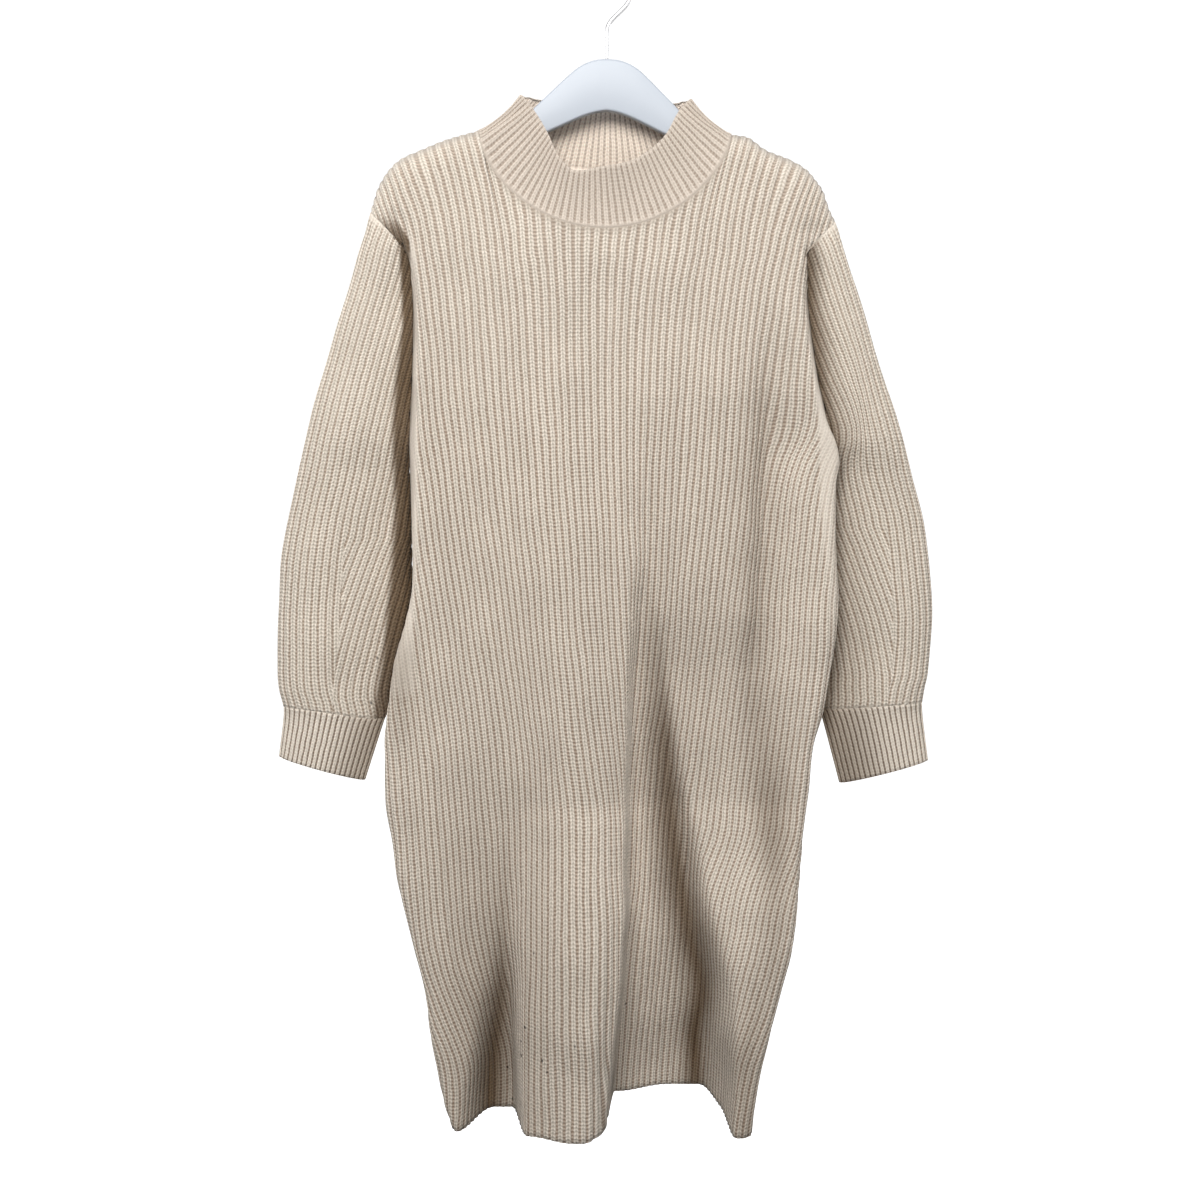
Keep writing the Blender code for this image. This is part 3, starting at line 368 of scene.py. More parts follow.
# Where the front's wales lie at each level, numbered from the plumb wale.
WALE_RIBS = np.array([-20.0, -17, -14, -11, -8, -5, -2, 12, 15, 18, 21])
WALES = table(
    "z n20 n17 n14 n11 n8 n5 n2 p12 p15 p18 p21",
    (-1140, -89, -84, -78, -57, -34, -13, 2, 14, 33, 50, 68),
    (-1090, -90, -85, -78, -58, -35, -13.5, 4, 17, 36, 53, 71),
    (-1030, -94, -86, -77, -59, -36.6, -15.4, 5.8, 21.2, 41.3, 58, 77),
    (-970, -101, -88.6, -75.5, -58.8, -37.2, -15.3, 6.8, 26.2, 45.8, 63, 81.4),
    (-910, -106, -90, -75, -58, -37, -15.8, 5.4, 33.4, 50, 66, 84.1),
    (-850, -110, -92, -75, -58.5, -38, -15.8, 4.2, 36, 54.2, 71, 89),
    (-790, -115, -95, -77, -61, -43, -22, -1.7, 41, 60, 77, 96),
    (-730, -122, -102, -84, -67.5, -50, -29.5, -9.5, 49, 67, 85, 103.3),
    (-670, -130, -110.5, -91.5, -73.7, -55.5, -35.5, -15.5, 55, 73, 91, 110.6),
    (-610, -138.9, -118.5, -99, -79.5, -60, -40, -20, 59.7, 77, 96.5, 116.5),
    (-550, -147, -127, -106.5, -86, -65.6, -44.5, -23.5, 62.5, 82, 103, 123),
    (-490, -155, -134.2, -113, -91.5, -70.5, -49, -27.5, 66, 87, 108.5, 129),
    (-430, -161.7, -140.8, -118.5, -96.2, -74.6, -52.3, -30.3, 69.6, 91, 112.2, 132.5),
    (-370, -167.3, -145.9, -123, -100.6, -78.4, -55, -32, 73.4, 95, 116.3, 137),
    (-330, -171.7, -149, -126.1, -103.5, -80.6, -56.5, -32.6, 77.3, 99.4, 121, 142),
    (-284, -174.5, -152, -129, -105.7, -82.6, -58.4, -33.4, 82, 104, 125.8, 147),
)
# Where each wale meets the shoulder's fold or the neckline.
TOP_WALES = table(
    "rib x",
    (-38, -234),
    (-33, -229.5),
    (-28.5, -223.5),
    (-24, -215.5),
    (-20, -206),
    (-17, -180),
    (-14, -155),
    (-10.5, -127),
    (-8, -93),
    (-5, -63),
    (-2, -33),
    (0, -14),
    (3, 13),
    (6, 41),
    (9, 68),
    (12, 99),
    (14, 123),
    (18, 152),
    (21, 175),
    (25, 197),
    (29, 208),
    (33, 216.5),
    (38, 226),
)
# Width of one rib: beyond the numbered wales, and on the back.
PITCH = table("z front back", (-1165, 6.5, 6.5), (-640, 6.5, 6.5), (-550, 6.6, 6.8), (-430, 7.0, 7.3), (-300, 7.6, 7.9))
BACK_PLUMB = table("z x", (-1165, -6), (-800, -8), (-300, -15))

# Sleeves: outer fold, inner fold and half thickness at each level.
SLEEVE_LEFT = table(
    "z x_out y_out x_in y_in half",
    (-800, -334, 6, -232, 12, 14),
    (-747, -326.5, 8, -226, 14, 16),
    (-733, -328, 9, -221, 17, 18),
    (-716, -331.5, 9.5, -216, 20, 20),
    (-700, -332.5, 10, -212, 22, 21),
    (-652, -332, 10, -201, 23, 22),
    (-601, -329, 9, -198, 23, 21),
    (-550, -321.5, 8, -198, 20, 20),
    (-500, -309.5, 6, -198.5, 13, 18),
    (-462, -300, 5, -199, 3, 17),
    (-400, -283.5, 4, -201, 4, 17),
    (-351, -268.5, 3, -203, 4, 17),
    (-301, -252, 2, -202, 3, 17),
    (-274, -243.8, 1, -200, 1, 16.5),
    (-257, -238.3, 0.5, -216, 0.5, 12.5),
    (-248, -236, 0.2, -225, 0.2, 8),
    (-241, -234, 0, -233, 0, 0.5),
)
SLEEVE_RIGHT = table(
    "z x_out y_out x_in y_in half",
    (-800, 327, 6, 234, 14, 14),
    (-747, 319, 8, 219, 16, 16),
    (-733, 319.5, 9, 216.5, 19, 17.5),
    (-716, 322, 9.5, 216, 22, 18.5),
    (-700, 326, 10, 216, 24, 19),
    (-652, 329, 10, 214, 25, 19),
    (-601, 325, 9, 214, 25, 18),
    (-550, 319, 8, 214, 23, 16),
    (-500, 306, 6, 211, 17, 14),
    (-462, 295, 5, 206, 4, 16),
    (-400, 276, 4, 206, 4, 16.5),
    (-351, 259, 3, 207, 4, 16.5),
    (-301, 243, 2, 205, 3, 16.5),
    (-279, 235.5, 1, 197, 1, 15.5),
    (-264, 230.5, 0.5, 210.5, 0.5, 11),
    (-256, 228, 0.2, 219, 0.2, 7),
    (-250, 226, 0, 225, 0, 0.5),
)
# Cuffs: the seam line and the open end, each a tilted ring.
CUFF_LEFT = table("x_out z_out x_in z_in y half", (-326.5, -735, -226, -747, 11, 14.5), (-333, -785, -246, -809, 8, 15.5))
CUFF_RIGHT = table("x_out z_out x_in z_in y half", (319, -731, 217, -737, 12, 14.5), (326.5, -789, 237, -812, 9, 15.5))

# Collar: its upper rim. The side folds are the two peaks.
COLLAR_PEAK_LEFT = (-86.0, -126.0)
COLLAR_PEAK_RIGHT = (84.0, -130.0)
COLLAR_FRONT = table(
    "x y z",
    (-86, 0, -126),
    (-74, -13, -141),
    (-58, -19, -168),
    (-49, -22, -188),
    (-30, -25, -204),
    (-4, -27, -200),
    (22, -26, -195),
    (44, -21, -182),
    (58, -19, -168),
    (72, -13, -143),
    (84, 0, -130),
)
COLLAR_BACK = table(
    "x y z",
    (-86, 0, -126),
    (-72, 13, -128),
    (-40, 22, -131),
    (0, 25, -133),
    (40, 22, -133),
    (70, 13, -132),
    (84, 0, -130),
)

# Hanger: top and bottom edge at each distance from its middle.
HANGER = table(
    "x top bottom",
    (0, -92, -142),
    (9, -92.6, -143.5),
    (18, -95, -146),
    (28, -100, -150),
    (40, -110, -155.5),
    (54, -123.5, -162),
    (68, -137, -168.5),
    (84, -153.5, -178),
    (104, -169.5, -190),
    (130, -181.5, -200.5),
    (158, -188, -209),
    (182, -194, -216),
    (194, -199, -220),
    (200, -205, -220),
    (204, -211, -216),
)
HANGER_TILT = 1.2  # degrees that it dips to the right
HANGER_MIDDLE = 1.0


def along(values, xs, at):
    """Smooth monotone curve through rows (xs ascending or descending)."""
    xs, values = np.asarray(xs, float), np.asarray(values, float)
    if xs[0] > xs[-1]:
        xs, values = xs[::-1], values[::-1]
    at = np.clip(np.asarray(at, float), xs[0], xs[-1])
    width = np.diff(xs)
    rate = np.diff(values) / width
    slope = np.zeros(len(xs))
    slope[0], slope[-1] = rate[0], rate[-1]
    for i in range(1, len(xs) - 1):
        if rate[i - 1] * rate[i] > 0:
            a, b = 2 * width[i] + width[i - 1], width[i] + 2 * width[i - 1]
            slope[i] = (a + b) / (a / rate[i - 1] + b / rate[i])
    i = np.clip(np.searchsorted(xs, at, side="right") - 1, 0, len(width) - 1)
    t = (at - xs[i]) / width[i]
    h = width[i]
    return (
        (2 * t**3 - 3 * t**2 + 1) * values[i]
        + (t**3 - 2 * t**2 + t) * h * slope[i]
        + (3 * t**2 - 2 * t**3) * values[i + 1]
        + (t**3 - t**2) * h * slope[i + 1]
    )


def at_level(rows, name, z):
    return along(rows[name], rows["z"], z)


def seam_line(rows, name, z):
    """The armhole and side seam at one level: over the shoulder straight from the front and round from the side, smooth below it."""
    join, top = rows["z"][-2], rows["z"][-1]
    share = np.clip((z - join) / (top - join), 0, 1)
    if name == "x":
        over = rows[name][-2] + (rows[name][-1] - rows[name][-2]) * share
    else:
        over = rows[name][-2] * np.sqrt(1 - share**2)
    return np.where(np.asarray(z) > join, over, along(rows[name][:-1], rows["z"][:-1], z))


def ease(t):
    t = np.clip(t, 0, 1)
    return t * t * t * (t * (6 * t - 15) + 10)


def neckline(x, drop):
    xi = np.clip((np.asarray(x, float) - NECK_CENTRE) / NECK_HALF, -1, 1)
    return NECK_TOP - drop * (1 - xi**2) ** NECK_POWER


def shoulder(x):
    """Height of the shoulder's top fold, carried on over the neck."""
    x = np.asarray(x, float)
    left = along(SHOULDER_LEFT["z"], SHOULDER_LEFT["x"], x)
    right = along(SHOULDER_RIGHT["z"], SHOULDER_RIGHT["x"], x)
    neck_left, neck_right = SHOULDER_LEFT["x"][-1], SHOULDER_RIGHT["x"][0]
    return np.where(x <= neck_left, left, np.where(x >= neck_right, right, -120.0))


def to_fold(x, z):
    """Distance from a point of a face to the shoulder's top fold, seen from the front."""
    best = np.full(np.broadcast(x, z).shape, 1e9)
    for rows in (SHOULDER_LEFT, SHOULDER_RIGHT):
        px = np.linspace(rows["x"][0], rows["x"][-1], 41)
        pz = along(rows["z"], rows["x"], px)
        for i in range(40):
            dx, dz = px[i + 1] - px[i], pz[i + 1] - pz[i]
            t = np.clip(((x - px[i]) * dx + (z - pz[i]) * dz) / (dx * dx + dz * dz), 0, 1)
            best = np.minimum(best, np.hypot(x - px[i] - t * dx, z - pz[i] - t * dz))
    return best


def standing(x, z, side):
    """How far a face stands off the hanger's plane: its hang, its folds and the roll over the shoulder."""
    depth = at_level(DEPTH, side, z) + 0.0 * x
    for rows in (FRONT_FOLDS if side == "front" else BACK_FOLDS).values():
        run = at_level(rows, "run", z)
        step = at_level(rows, "back", z) * ease((x - at_level(rows, "x", z)) / run + 0.5)
        depth = depth - step if side == "front" else depth + step
    depth = depth + 6 * ease((z + 380) / 120) * np.clip(1 - (x / 150) ** 2, 0, 1)
    t = np.clip(to_fold(x, z) / SHOULDER_ROUND, 0, 1)
    return depth * np.sqrt(1 - (1 - t) ** 2)


def panel_section(z, side, samples=240):
    """The panel's line at one level, from the left seam to the right seam."""
    left, right = (EDGE_LEFT, EDGE_RIGHT) if side == "front" else (BACK_EDGE_LEFT, BACK_EDGE_RIGHT)
    xl, xr = float(at_level(left, "x", z)), float(at_level(right, "x", z))
    rl, rr = float(at_level(left, "round", z)), float(at_level(right, "round", z))
    s = np.linspace(0, 1, samples)
    x = xl + (xr - xl) * s
    x = np.sort(np.concatenate([x, xl + rl * (1 - np.cos(np.linspace(0, math.pi / 2, 12)[1:])), xr - rr * (1 - np.cos(np.linspace(0, math.pi / 2, 12)[1:]))]))
    y = standing(x, np.full_like(x, z), side)
    for edge, r in ((xl, rl), (xr, rr)):
        t = np.clip(np.abs(x - edge) / max(r, 0.1), 0, 1)
        y = y - r * (1 - np.sqrt(1 - (1 - t) ** 2))
    y = -y if side == "front" else y
    gap = -0.5 * SEAM_GAP if side == "front" else 0.5 * SEAM_GAP
    ends = [
        (float(seam_line(rows, "x", z)), float(seam_line(rows, side, z)) + gap)
        for rows in (SEAM_LEFT, SEAM_RIGHT)
    ]
    line = np.column_stack([x, y])
    return np.vstack([[ends[0]], line, [ends[1]]])


def wales(z, side, ribs):
    """x, y and true rib number of a panel's columns at one level."""
    line = panel_section(z, side, 420)
    length = np.concatenate([[0], np.cumsum(np.hypot(*np.diff(line, axis=0).T))])
    pitch = float(at_level(PITCH, side, z))
    if side == "front":
        named = [float(at_level(WALES, name, z)) for name in WALES if name != "z"]
        known = np.interp(named, line[1:-1, 0], length[1:-1])
    else:
        known = float(np.interp(at_level(BACK_PLUMB, "x", z), line[1:-1, 0], length[1:-1])) + WALE_RIBS * pitch
    first, last = known[0], known[-1]
    low, high = WALE_RIBS[0], WALE_RIBS[-1]
    place = along(known, WALE_RIBS, np.clip(ribs, low, high))
    place = np.where(ribs < low, first * (ribs + HALF_RIBS) / (low + HALF_RIBS), place)
    place = np.where(ribs > high, last + (length[-1] - last) * (ribs - high) / (HALF_RIBS - high), place)
    number = np.where(ribs < low, low - (first - place) / pitch, np.where(ribs > high, high + (place - last) / pitch, ribs))
    return np.interp(place, length, line[:, 0]), np.interp(place, length, line[:, 1]), number


def yoke_depth(x, z, side):
    """How far a face stands off the hanger's plane near the shoulder.

    Beside the armhole it lies back with the sleeve; the turn to the body's own depth is soft
    over the shoulder and draws together into an edge lower down."""
    own = standing(x, z, side)
    for rows, top in ((SEAM_LEFT, SHOULDER_LEVEL_LEFT), (SEAM_RIGHT, SHOULDER_LEVEL_RIGHT)):
        edge = seam_line(rows, "x", z)
        at_seam = np.abs(seam_line(rows, side, z))
        down = np.clip((top - z) / 42, 0, 1)
        inside = np.abs(edge) - np.abs(x)
        start = (1 - down) * np.clip(inside * 0.25, 0, 6)
        at_seam = np.maximum(at_seam, 0.62 * own * (1 - down))
        width = 34 - 25 * ease(down)
        near = np.clip((inside - start) / width, 0, 1)
        turned = near * near * (3 - 2 * near) * (1 - down) + np.sqrt(1 - (1 - near) ** 2) * down
        own = np.where(np.sign(x) == np.sign(edge), np.minimum(own, at_seam + (own - at_seam) * turned), own)
    return own


def panel_grid(side, ribs, yoke_shares, body_levels, tuck=0.0):
    """Points and true rib numbers of a panel's outer face: rows from the top edge to the hem, a column for each of ribs.

    tuck keeps the first columns beside the armhole's corner in from the seam, for coarse grids."""
    levels = np.arange(YOKE_FLAT, -1191, -6.0)
    sampled = [wales(z, side, ribs) for z in levels]
    xs, ys, ns = (np.array([s[i] for s in sampled])[::-1] for i in range(3))
    up = levels[::-1]
    columns = np.arange(len(ribs))

    def read(z, values):
        place = np.clip((z - up[0]) / (up[1] - up[0]), 0, len(up) - 1.001)
        low = place.astype(int)
        share = place - low
        return values[low, columns] * (1 - share) + values[low + 1, columns] * share

    drop = FRONT_NECK_DROP if side == "front" else BACK_NECK_DROP
    sign = -1 if side == "front" else 1
    left, right = int(np.argmin(np.abs(ribs - NECK_LEFT_RIB))), int(np.argmin(np.abs(ribs - NECK_RIGHT_RIB)))
    top_x = along(TOP_WALES["x"], TOP_WALES["rib"], ribs)
    inside = (columns > left) & (columns < right)
    top_z = np.where(inside, neckline(top_x, drop), shoulder(np.clip(top_x, SHOULDER_LEFT["x"][0], SHOULDER_RIGHT["x"][-1])))
    top_n = np.where(ribs < -20, -20 + (ribs + 20) * 7.2 / 18, np.where(ribs > 21, 21 + (ribs - 21) * 10 / 17, ribs))
    flat = np.full(len(ribs), YOKE_FLAT)
    flat_x = read(flat, xs)
    rows, numbers = [], []
    for share in yoke_shares:
        z = top_z + (YOKE_LEVEL - top_z) * share
        lean = np.clip((z - YOKE_LEVEL) / (top_z - YOKE_LEVEL), 0, 1) ** 1.9
        low = np.minimum(z, flat)
        x = read(low, xs) + (top_x - flat_x) * lean
        # No column crosses the armhole seam.
        below, keep = (10, tuck * np.clip(np.minimum(columns, columns[::-1]), 0, 3)) if tuck and share > 0.3 else (0, 0)
        x = np.clip(x, seam_line(SEAM_LEFT, "x", z - below) + keep, seam_line(SEAM_RIGHT, "x", z - below) - keep)
        blend = ease((z - YOKE_FLAT + 24) / 30)
        own_y = sign * np.maximum(yoke_depth(x, z, side), 0.5 * SEAM_GAP)
        y = read(low, ys) * (1 - blend) + own_y * blend
        for j, seams in ((0, SEAM_LEFT), (-1, SEAM_RIGHT)):
            x[j] = float(seam_line(seams, "x", z[j]))
            y[j] = float(seam_line(seams, side, z[j])) + sign * 0.5 * SEAM_GAP
        rows.append(np.column_stack([x, y, z]))
        numbers.append(read(low, ns) * (1 - lean) + top_n * lean)
    tip_y = read(np.full(len(ribs), -1140.0), ys)
    level, swing = (HEM_LEVEL, HEM_SWING) if side == "front" else (BACK_HEM_LEVEL, BACK_HEM_SWING)
    toward = np.where(tip_y < 0, 1, -1) if side == "front" else 1
    hem = level - swing * np.abs(tip_y) * toward
    for z0 in body_levels:
        z = np.full(len(ribs), float(z0))
        if z0 < -900:
            z = -900 + (z0 + 900) * (hem + 900) / (body_levels[-1] + 900)
        rows.append(np.column_stack([read(z, xs), read(z, ys), z]))
        numbers.append(read(z, ns))
    return np.array(rows), np.array(numbers), left, right


def sleeve_ring(z, rows, seams, arcs):
    """Points of a sleeve's section at one level. arcs run from -1, the front of the seam, over 0, the outer fold, to 1."""
    out = np.array([float(at_level(rows, "x_out", z)), float(at_level(rows, "y_out", z))])
    into = np.array([float(at_level(rows, "x_in", z)), float(at_level(rows, "y_in", z))])
    half = float(at_level(rows, "half", z))
    middle, reach = (out + into) / 2, (out - into) / 2
    across = np.array([-reach[1], reach[0]]) / max(np.hypot(*reach), 1e-6)
    if across[1] < 0:
        across = -across
    turn = np.linspace(-math.pi, math.pi, 961)
    if z > UNDERARM_LEVEL:
        # The section is open towards the body, more so over the shoulder.
        opening = 0.12 + 0.2 * float(ease((z + 400) / 100))
        turn = turn * (1 - opening * float(ease((z - UNDERARM_LEVEL) / 40)))
    side = np.sign(np.sin(turn)) * np.abs(np.sin(turn)) ** 0.9
    line = middle + np.outer(np.cos(turn), reach) + np.outer(side, across) * half
    if z > UNDERARM_LEVEL:
        x = float(seam_line(seams, "x", z)) + math.copysign(SEAM_GAP, out[0])
        ends = [np.array([x, float(seam_line(seams, name, z))]) for name in ("front", "back")]
        weight = (np.abs(turn) / abs(turn[0])) ** 6
        shift_front, shift_back = ends[0] - line[0], ends[1] - line[-1]
        line = line + np.where((turn < 0)[:, None], weight[:, None] * shift_front, weight[:, None] * shift_back)
        line[:, 0] = np.where(np.abs(line[:, 0]) < abs(x), x, line[:, 0])
        line[0], line[-1] = ends
    length = np.concatenate([[0], np.cumsum(np.hypot(*np.diff(line, axis=0).T))])
    centre = float(np.interp(0, turn, length))
    want = np.where(arcs < 0, centre + arcs * centre, centre + arcs * (length[-1] - centre))
    return np.column_stack([np.interp(want, length, line[:, 0]), np.interp(want, length, line[:, 1])])


def sleeve_grid(rows, seams, cuff, shoulder_level, half_columns, fan_shares, lower_rows):
    """Points of a sleeve's outer face, and the distance of each from the outer fold.

    The first row is the seam over the shoulder, the last the cuff seam. fan_shares run from 0
    at that first row to 1 at the underarm."""
    levels = np.arange(-768.0, shoulder_level + 1.1, 1.5)
    shares = np.linspace(-1, 1, 401)
    xs, ys, halves = [], [], []
    for z in levels:
        ring = sleeve_ring(z, rows, seams, shares)
        xs.append(ring[:, 0])
        ys.append(ring[:, 1])
        step = np.hypot(np.diff(ring[:, 0]), np.diff(ring[:, 1]))
        halves.append((step[:200].sum(), step[200:].sum()))
    xs, ys, halves = np.array(xs), np.array(ys), np.array(halves)
    arcs = np.linspace(-1, 1, 2 * half_columns + 1)

    def read(z, part):
        place = np.clip((z - levels[0]) / 1.5, 0, len(levels) - 1.001)
        low = place.astype(int)
        share = place - low
        across = np.clip((part + 1) * 200, 0, 399.999)
        near = across.astype(int)
        rest = across - near
        out = []
        for grid in (xs, ys):
            a = grid[low, near] * (1 - rest) + grid[low, near + 1] * rest
            b = grid[low + 1, near] * (1 - rest) + grid[low + 1, near + 1] * rest
            out.append(a * (1 - share) + b * share)
        half = np.where(
            part < 0,
            halves[low, 0] * (1 - share) + halves[low + 1, 0] * share,
            halves[low, 1] * (1 - share) + halves[low + 1, 1] * share,
        )
        return out[0], out[1], np.abs(part) * half

    join = shoulder_level + (YOKE_LEVEL - shoulder_level) * JOIN_SHARE
    off = math.copysign(SEAM_GAP, seams["x"][0])
    top = shoulder_level + (join - shoulder_level) * np.abs(arcs)
    grid, reach = [], []
    for share in fan_shares:
        z = top + (UNDERARM_LEVEL - top) * share
        # Columns start all along the seam and reach their own place round the sleeve soon below it.
        settle = np.clip(share / (0.75 * np.abs(arcs) + 0.02), 0, 1)
        part = np.abs(arcs) + (1 - np.abs(arcs)) * (1 - settle) ** 3
        x, y, s = read(z, part * np.where(arcs < 0, -1, 1))
        if share == 0:
            x = seam_line(seams, "x", z) + off
            y = np.where(arcs < 0, seam_line(seams, "front", z), seam_line(seams, "back", z))
        for j, name in ((0, "front"), (-1, "back")):
            x[j] = float(seam_line(seams, "x", z[j])) + off
            y[j] = float(seam_line(seams, name, z[j]))
        grid.append(np.column_stack([x, y, z]))
        reach.append(s)
    for share in np.linspace(0, 1, lower_rows + 1)[1:]:
        t = (1 - np.cos(math.pi * np.abs(arcs))) / 2
        end = cuff["z_out"][0] + (cuff["z_in"][0] - cuff["z_out"][0]) * t + SEAM_GAP
        z = UNDERARM_LEVEL + (end - UNDERARM_LEVEL) * share
        x, y, s = read(z, arcs)
        grid.append(np.column_stack([x, y, z]))
        reach.append(s)
    return np.array(grid), np.array(reach), arcs


def slit_normals(normals, points, merge):
    """Beside the armhole the sleeve's wall is moved straight back, so that it keeps off the body's wall."""
    for column in (0, -1):
        flat = ease((points[:merge, column, 2] + 430) / 60)
        normals[:merge, column, 0] *= 1 - flat
        normals[:merge, column] /= np.maximum(np.linalg.norm(normals[:merge, column], axis=1, keepdims=True), 1e-9)
    return normals


def level_normals(normals, row):
    """Along the cuff's seam both walls are moved in level, so that their rims stay apart."""
    normals[row, :, 2] = 0
    normals[row] /= np.maximum(np.linalg.norm(normals[row], axis=1, keepdims=True), 1e-9)
    return normals


# ---------------------------------------------------------------- the knit's own sizes

PER_RIB = 6  # mesh columns in one rib of the body
SLEEVE_PITCH = 7.4
COURSE = 3.7  # height of one stitch
BODY_ROW = 5.4
SLEEVE_ROW = 3.6


def normals_of(points, ring=False, outwards=(0, -1, 0)):
    """Unit normals of a grid of points; at the grid's middle they face outwards."""
    du = np.roll(points, -1, axis=1) - np.roll(points, 1, axis=1) if ring else np.gradient(points, axis=1)
    dv = np.gradient(points, axis=0)
    n = np.cross(du, dv)
    size = np.linalg.norm(n, axis=2, keepdims=True)
    n = n / np.maximum(size, 1e-9)
    r, c = points.shape[0] // 2, 0 if ring else points.shape[1] // 2
    return n if float(n[r, c] @ np.array(outwards, float)) > 0 else -n


def smooth_rows(values, passes=1, ring=False):
    """Averages a grid with its neighbours, edges kept."""
    for _ in range(passes):
        out = values.copy()
        out[1:-1] = (values[:-2] + 2 * values[1:-1] + values[2:]) / 4
        if ring:
            out = (np.roll(out, 1, axis=1) + 2 * out + np.roll(out, -1, axis=1)) / 4
        else:
            side = out.copy()
            out[:, 1:-1] = (side[:, :-2] + 2 * side[:, 1:-1] + side[:, 2:]) / 4
        values = out
    return values


def ripple(a, b, seed):
    """Gentle unevenness from a few waves, from about -1 to 1."""
    rng = np.random.default_rng(seed)
    total = np.zeros(np.broadcast(a, b).shape)
    for _ in range(7):
        angle, wave, start = rng.uniform(0, math.pi), rng.uniform(38, 120), rng.uniform(0, 2 * math.pi)
        total = total + np.sin((a * math.cos(angle) + 0.6 * b * math.sin(angle)) * 2 * math.pi / wave + start)
    return total / 3.2


def rib_height(phase, sharp=0.85):
    """0 in the bottom of a valley, 1 on top of a rib."""
    return np.abs(np.sin(math.pi * phase)) ** sharp


def strip(a, b):
    """Triangles between two rows of vertex numbers, the first finer or equal."""
    n, m = len(a) - 1, len(b) - 1
    faces, i, j = [], 0, 0
    while i < n or j < m:
        if j >= m or (i < n and (i + 0.5) / n <= (j + 0.5) / m):
            faces.append((a[i], a[i + 1], b[j]))
            i += 1
        else:
            faces.append((a[i], b[j + 1], b[j]))
            j += 1
    return faces


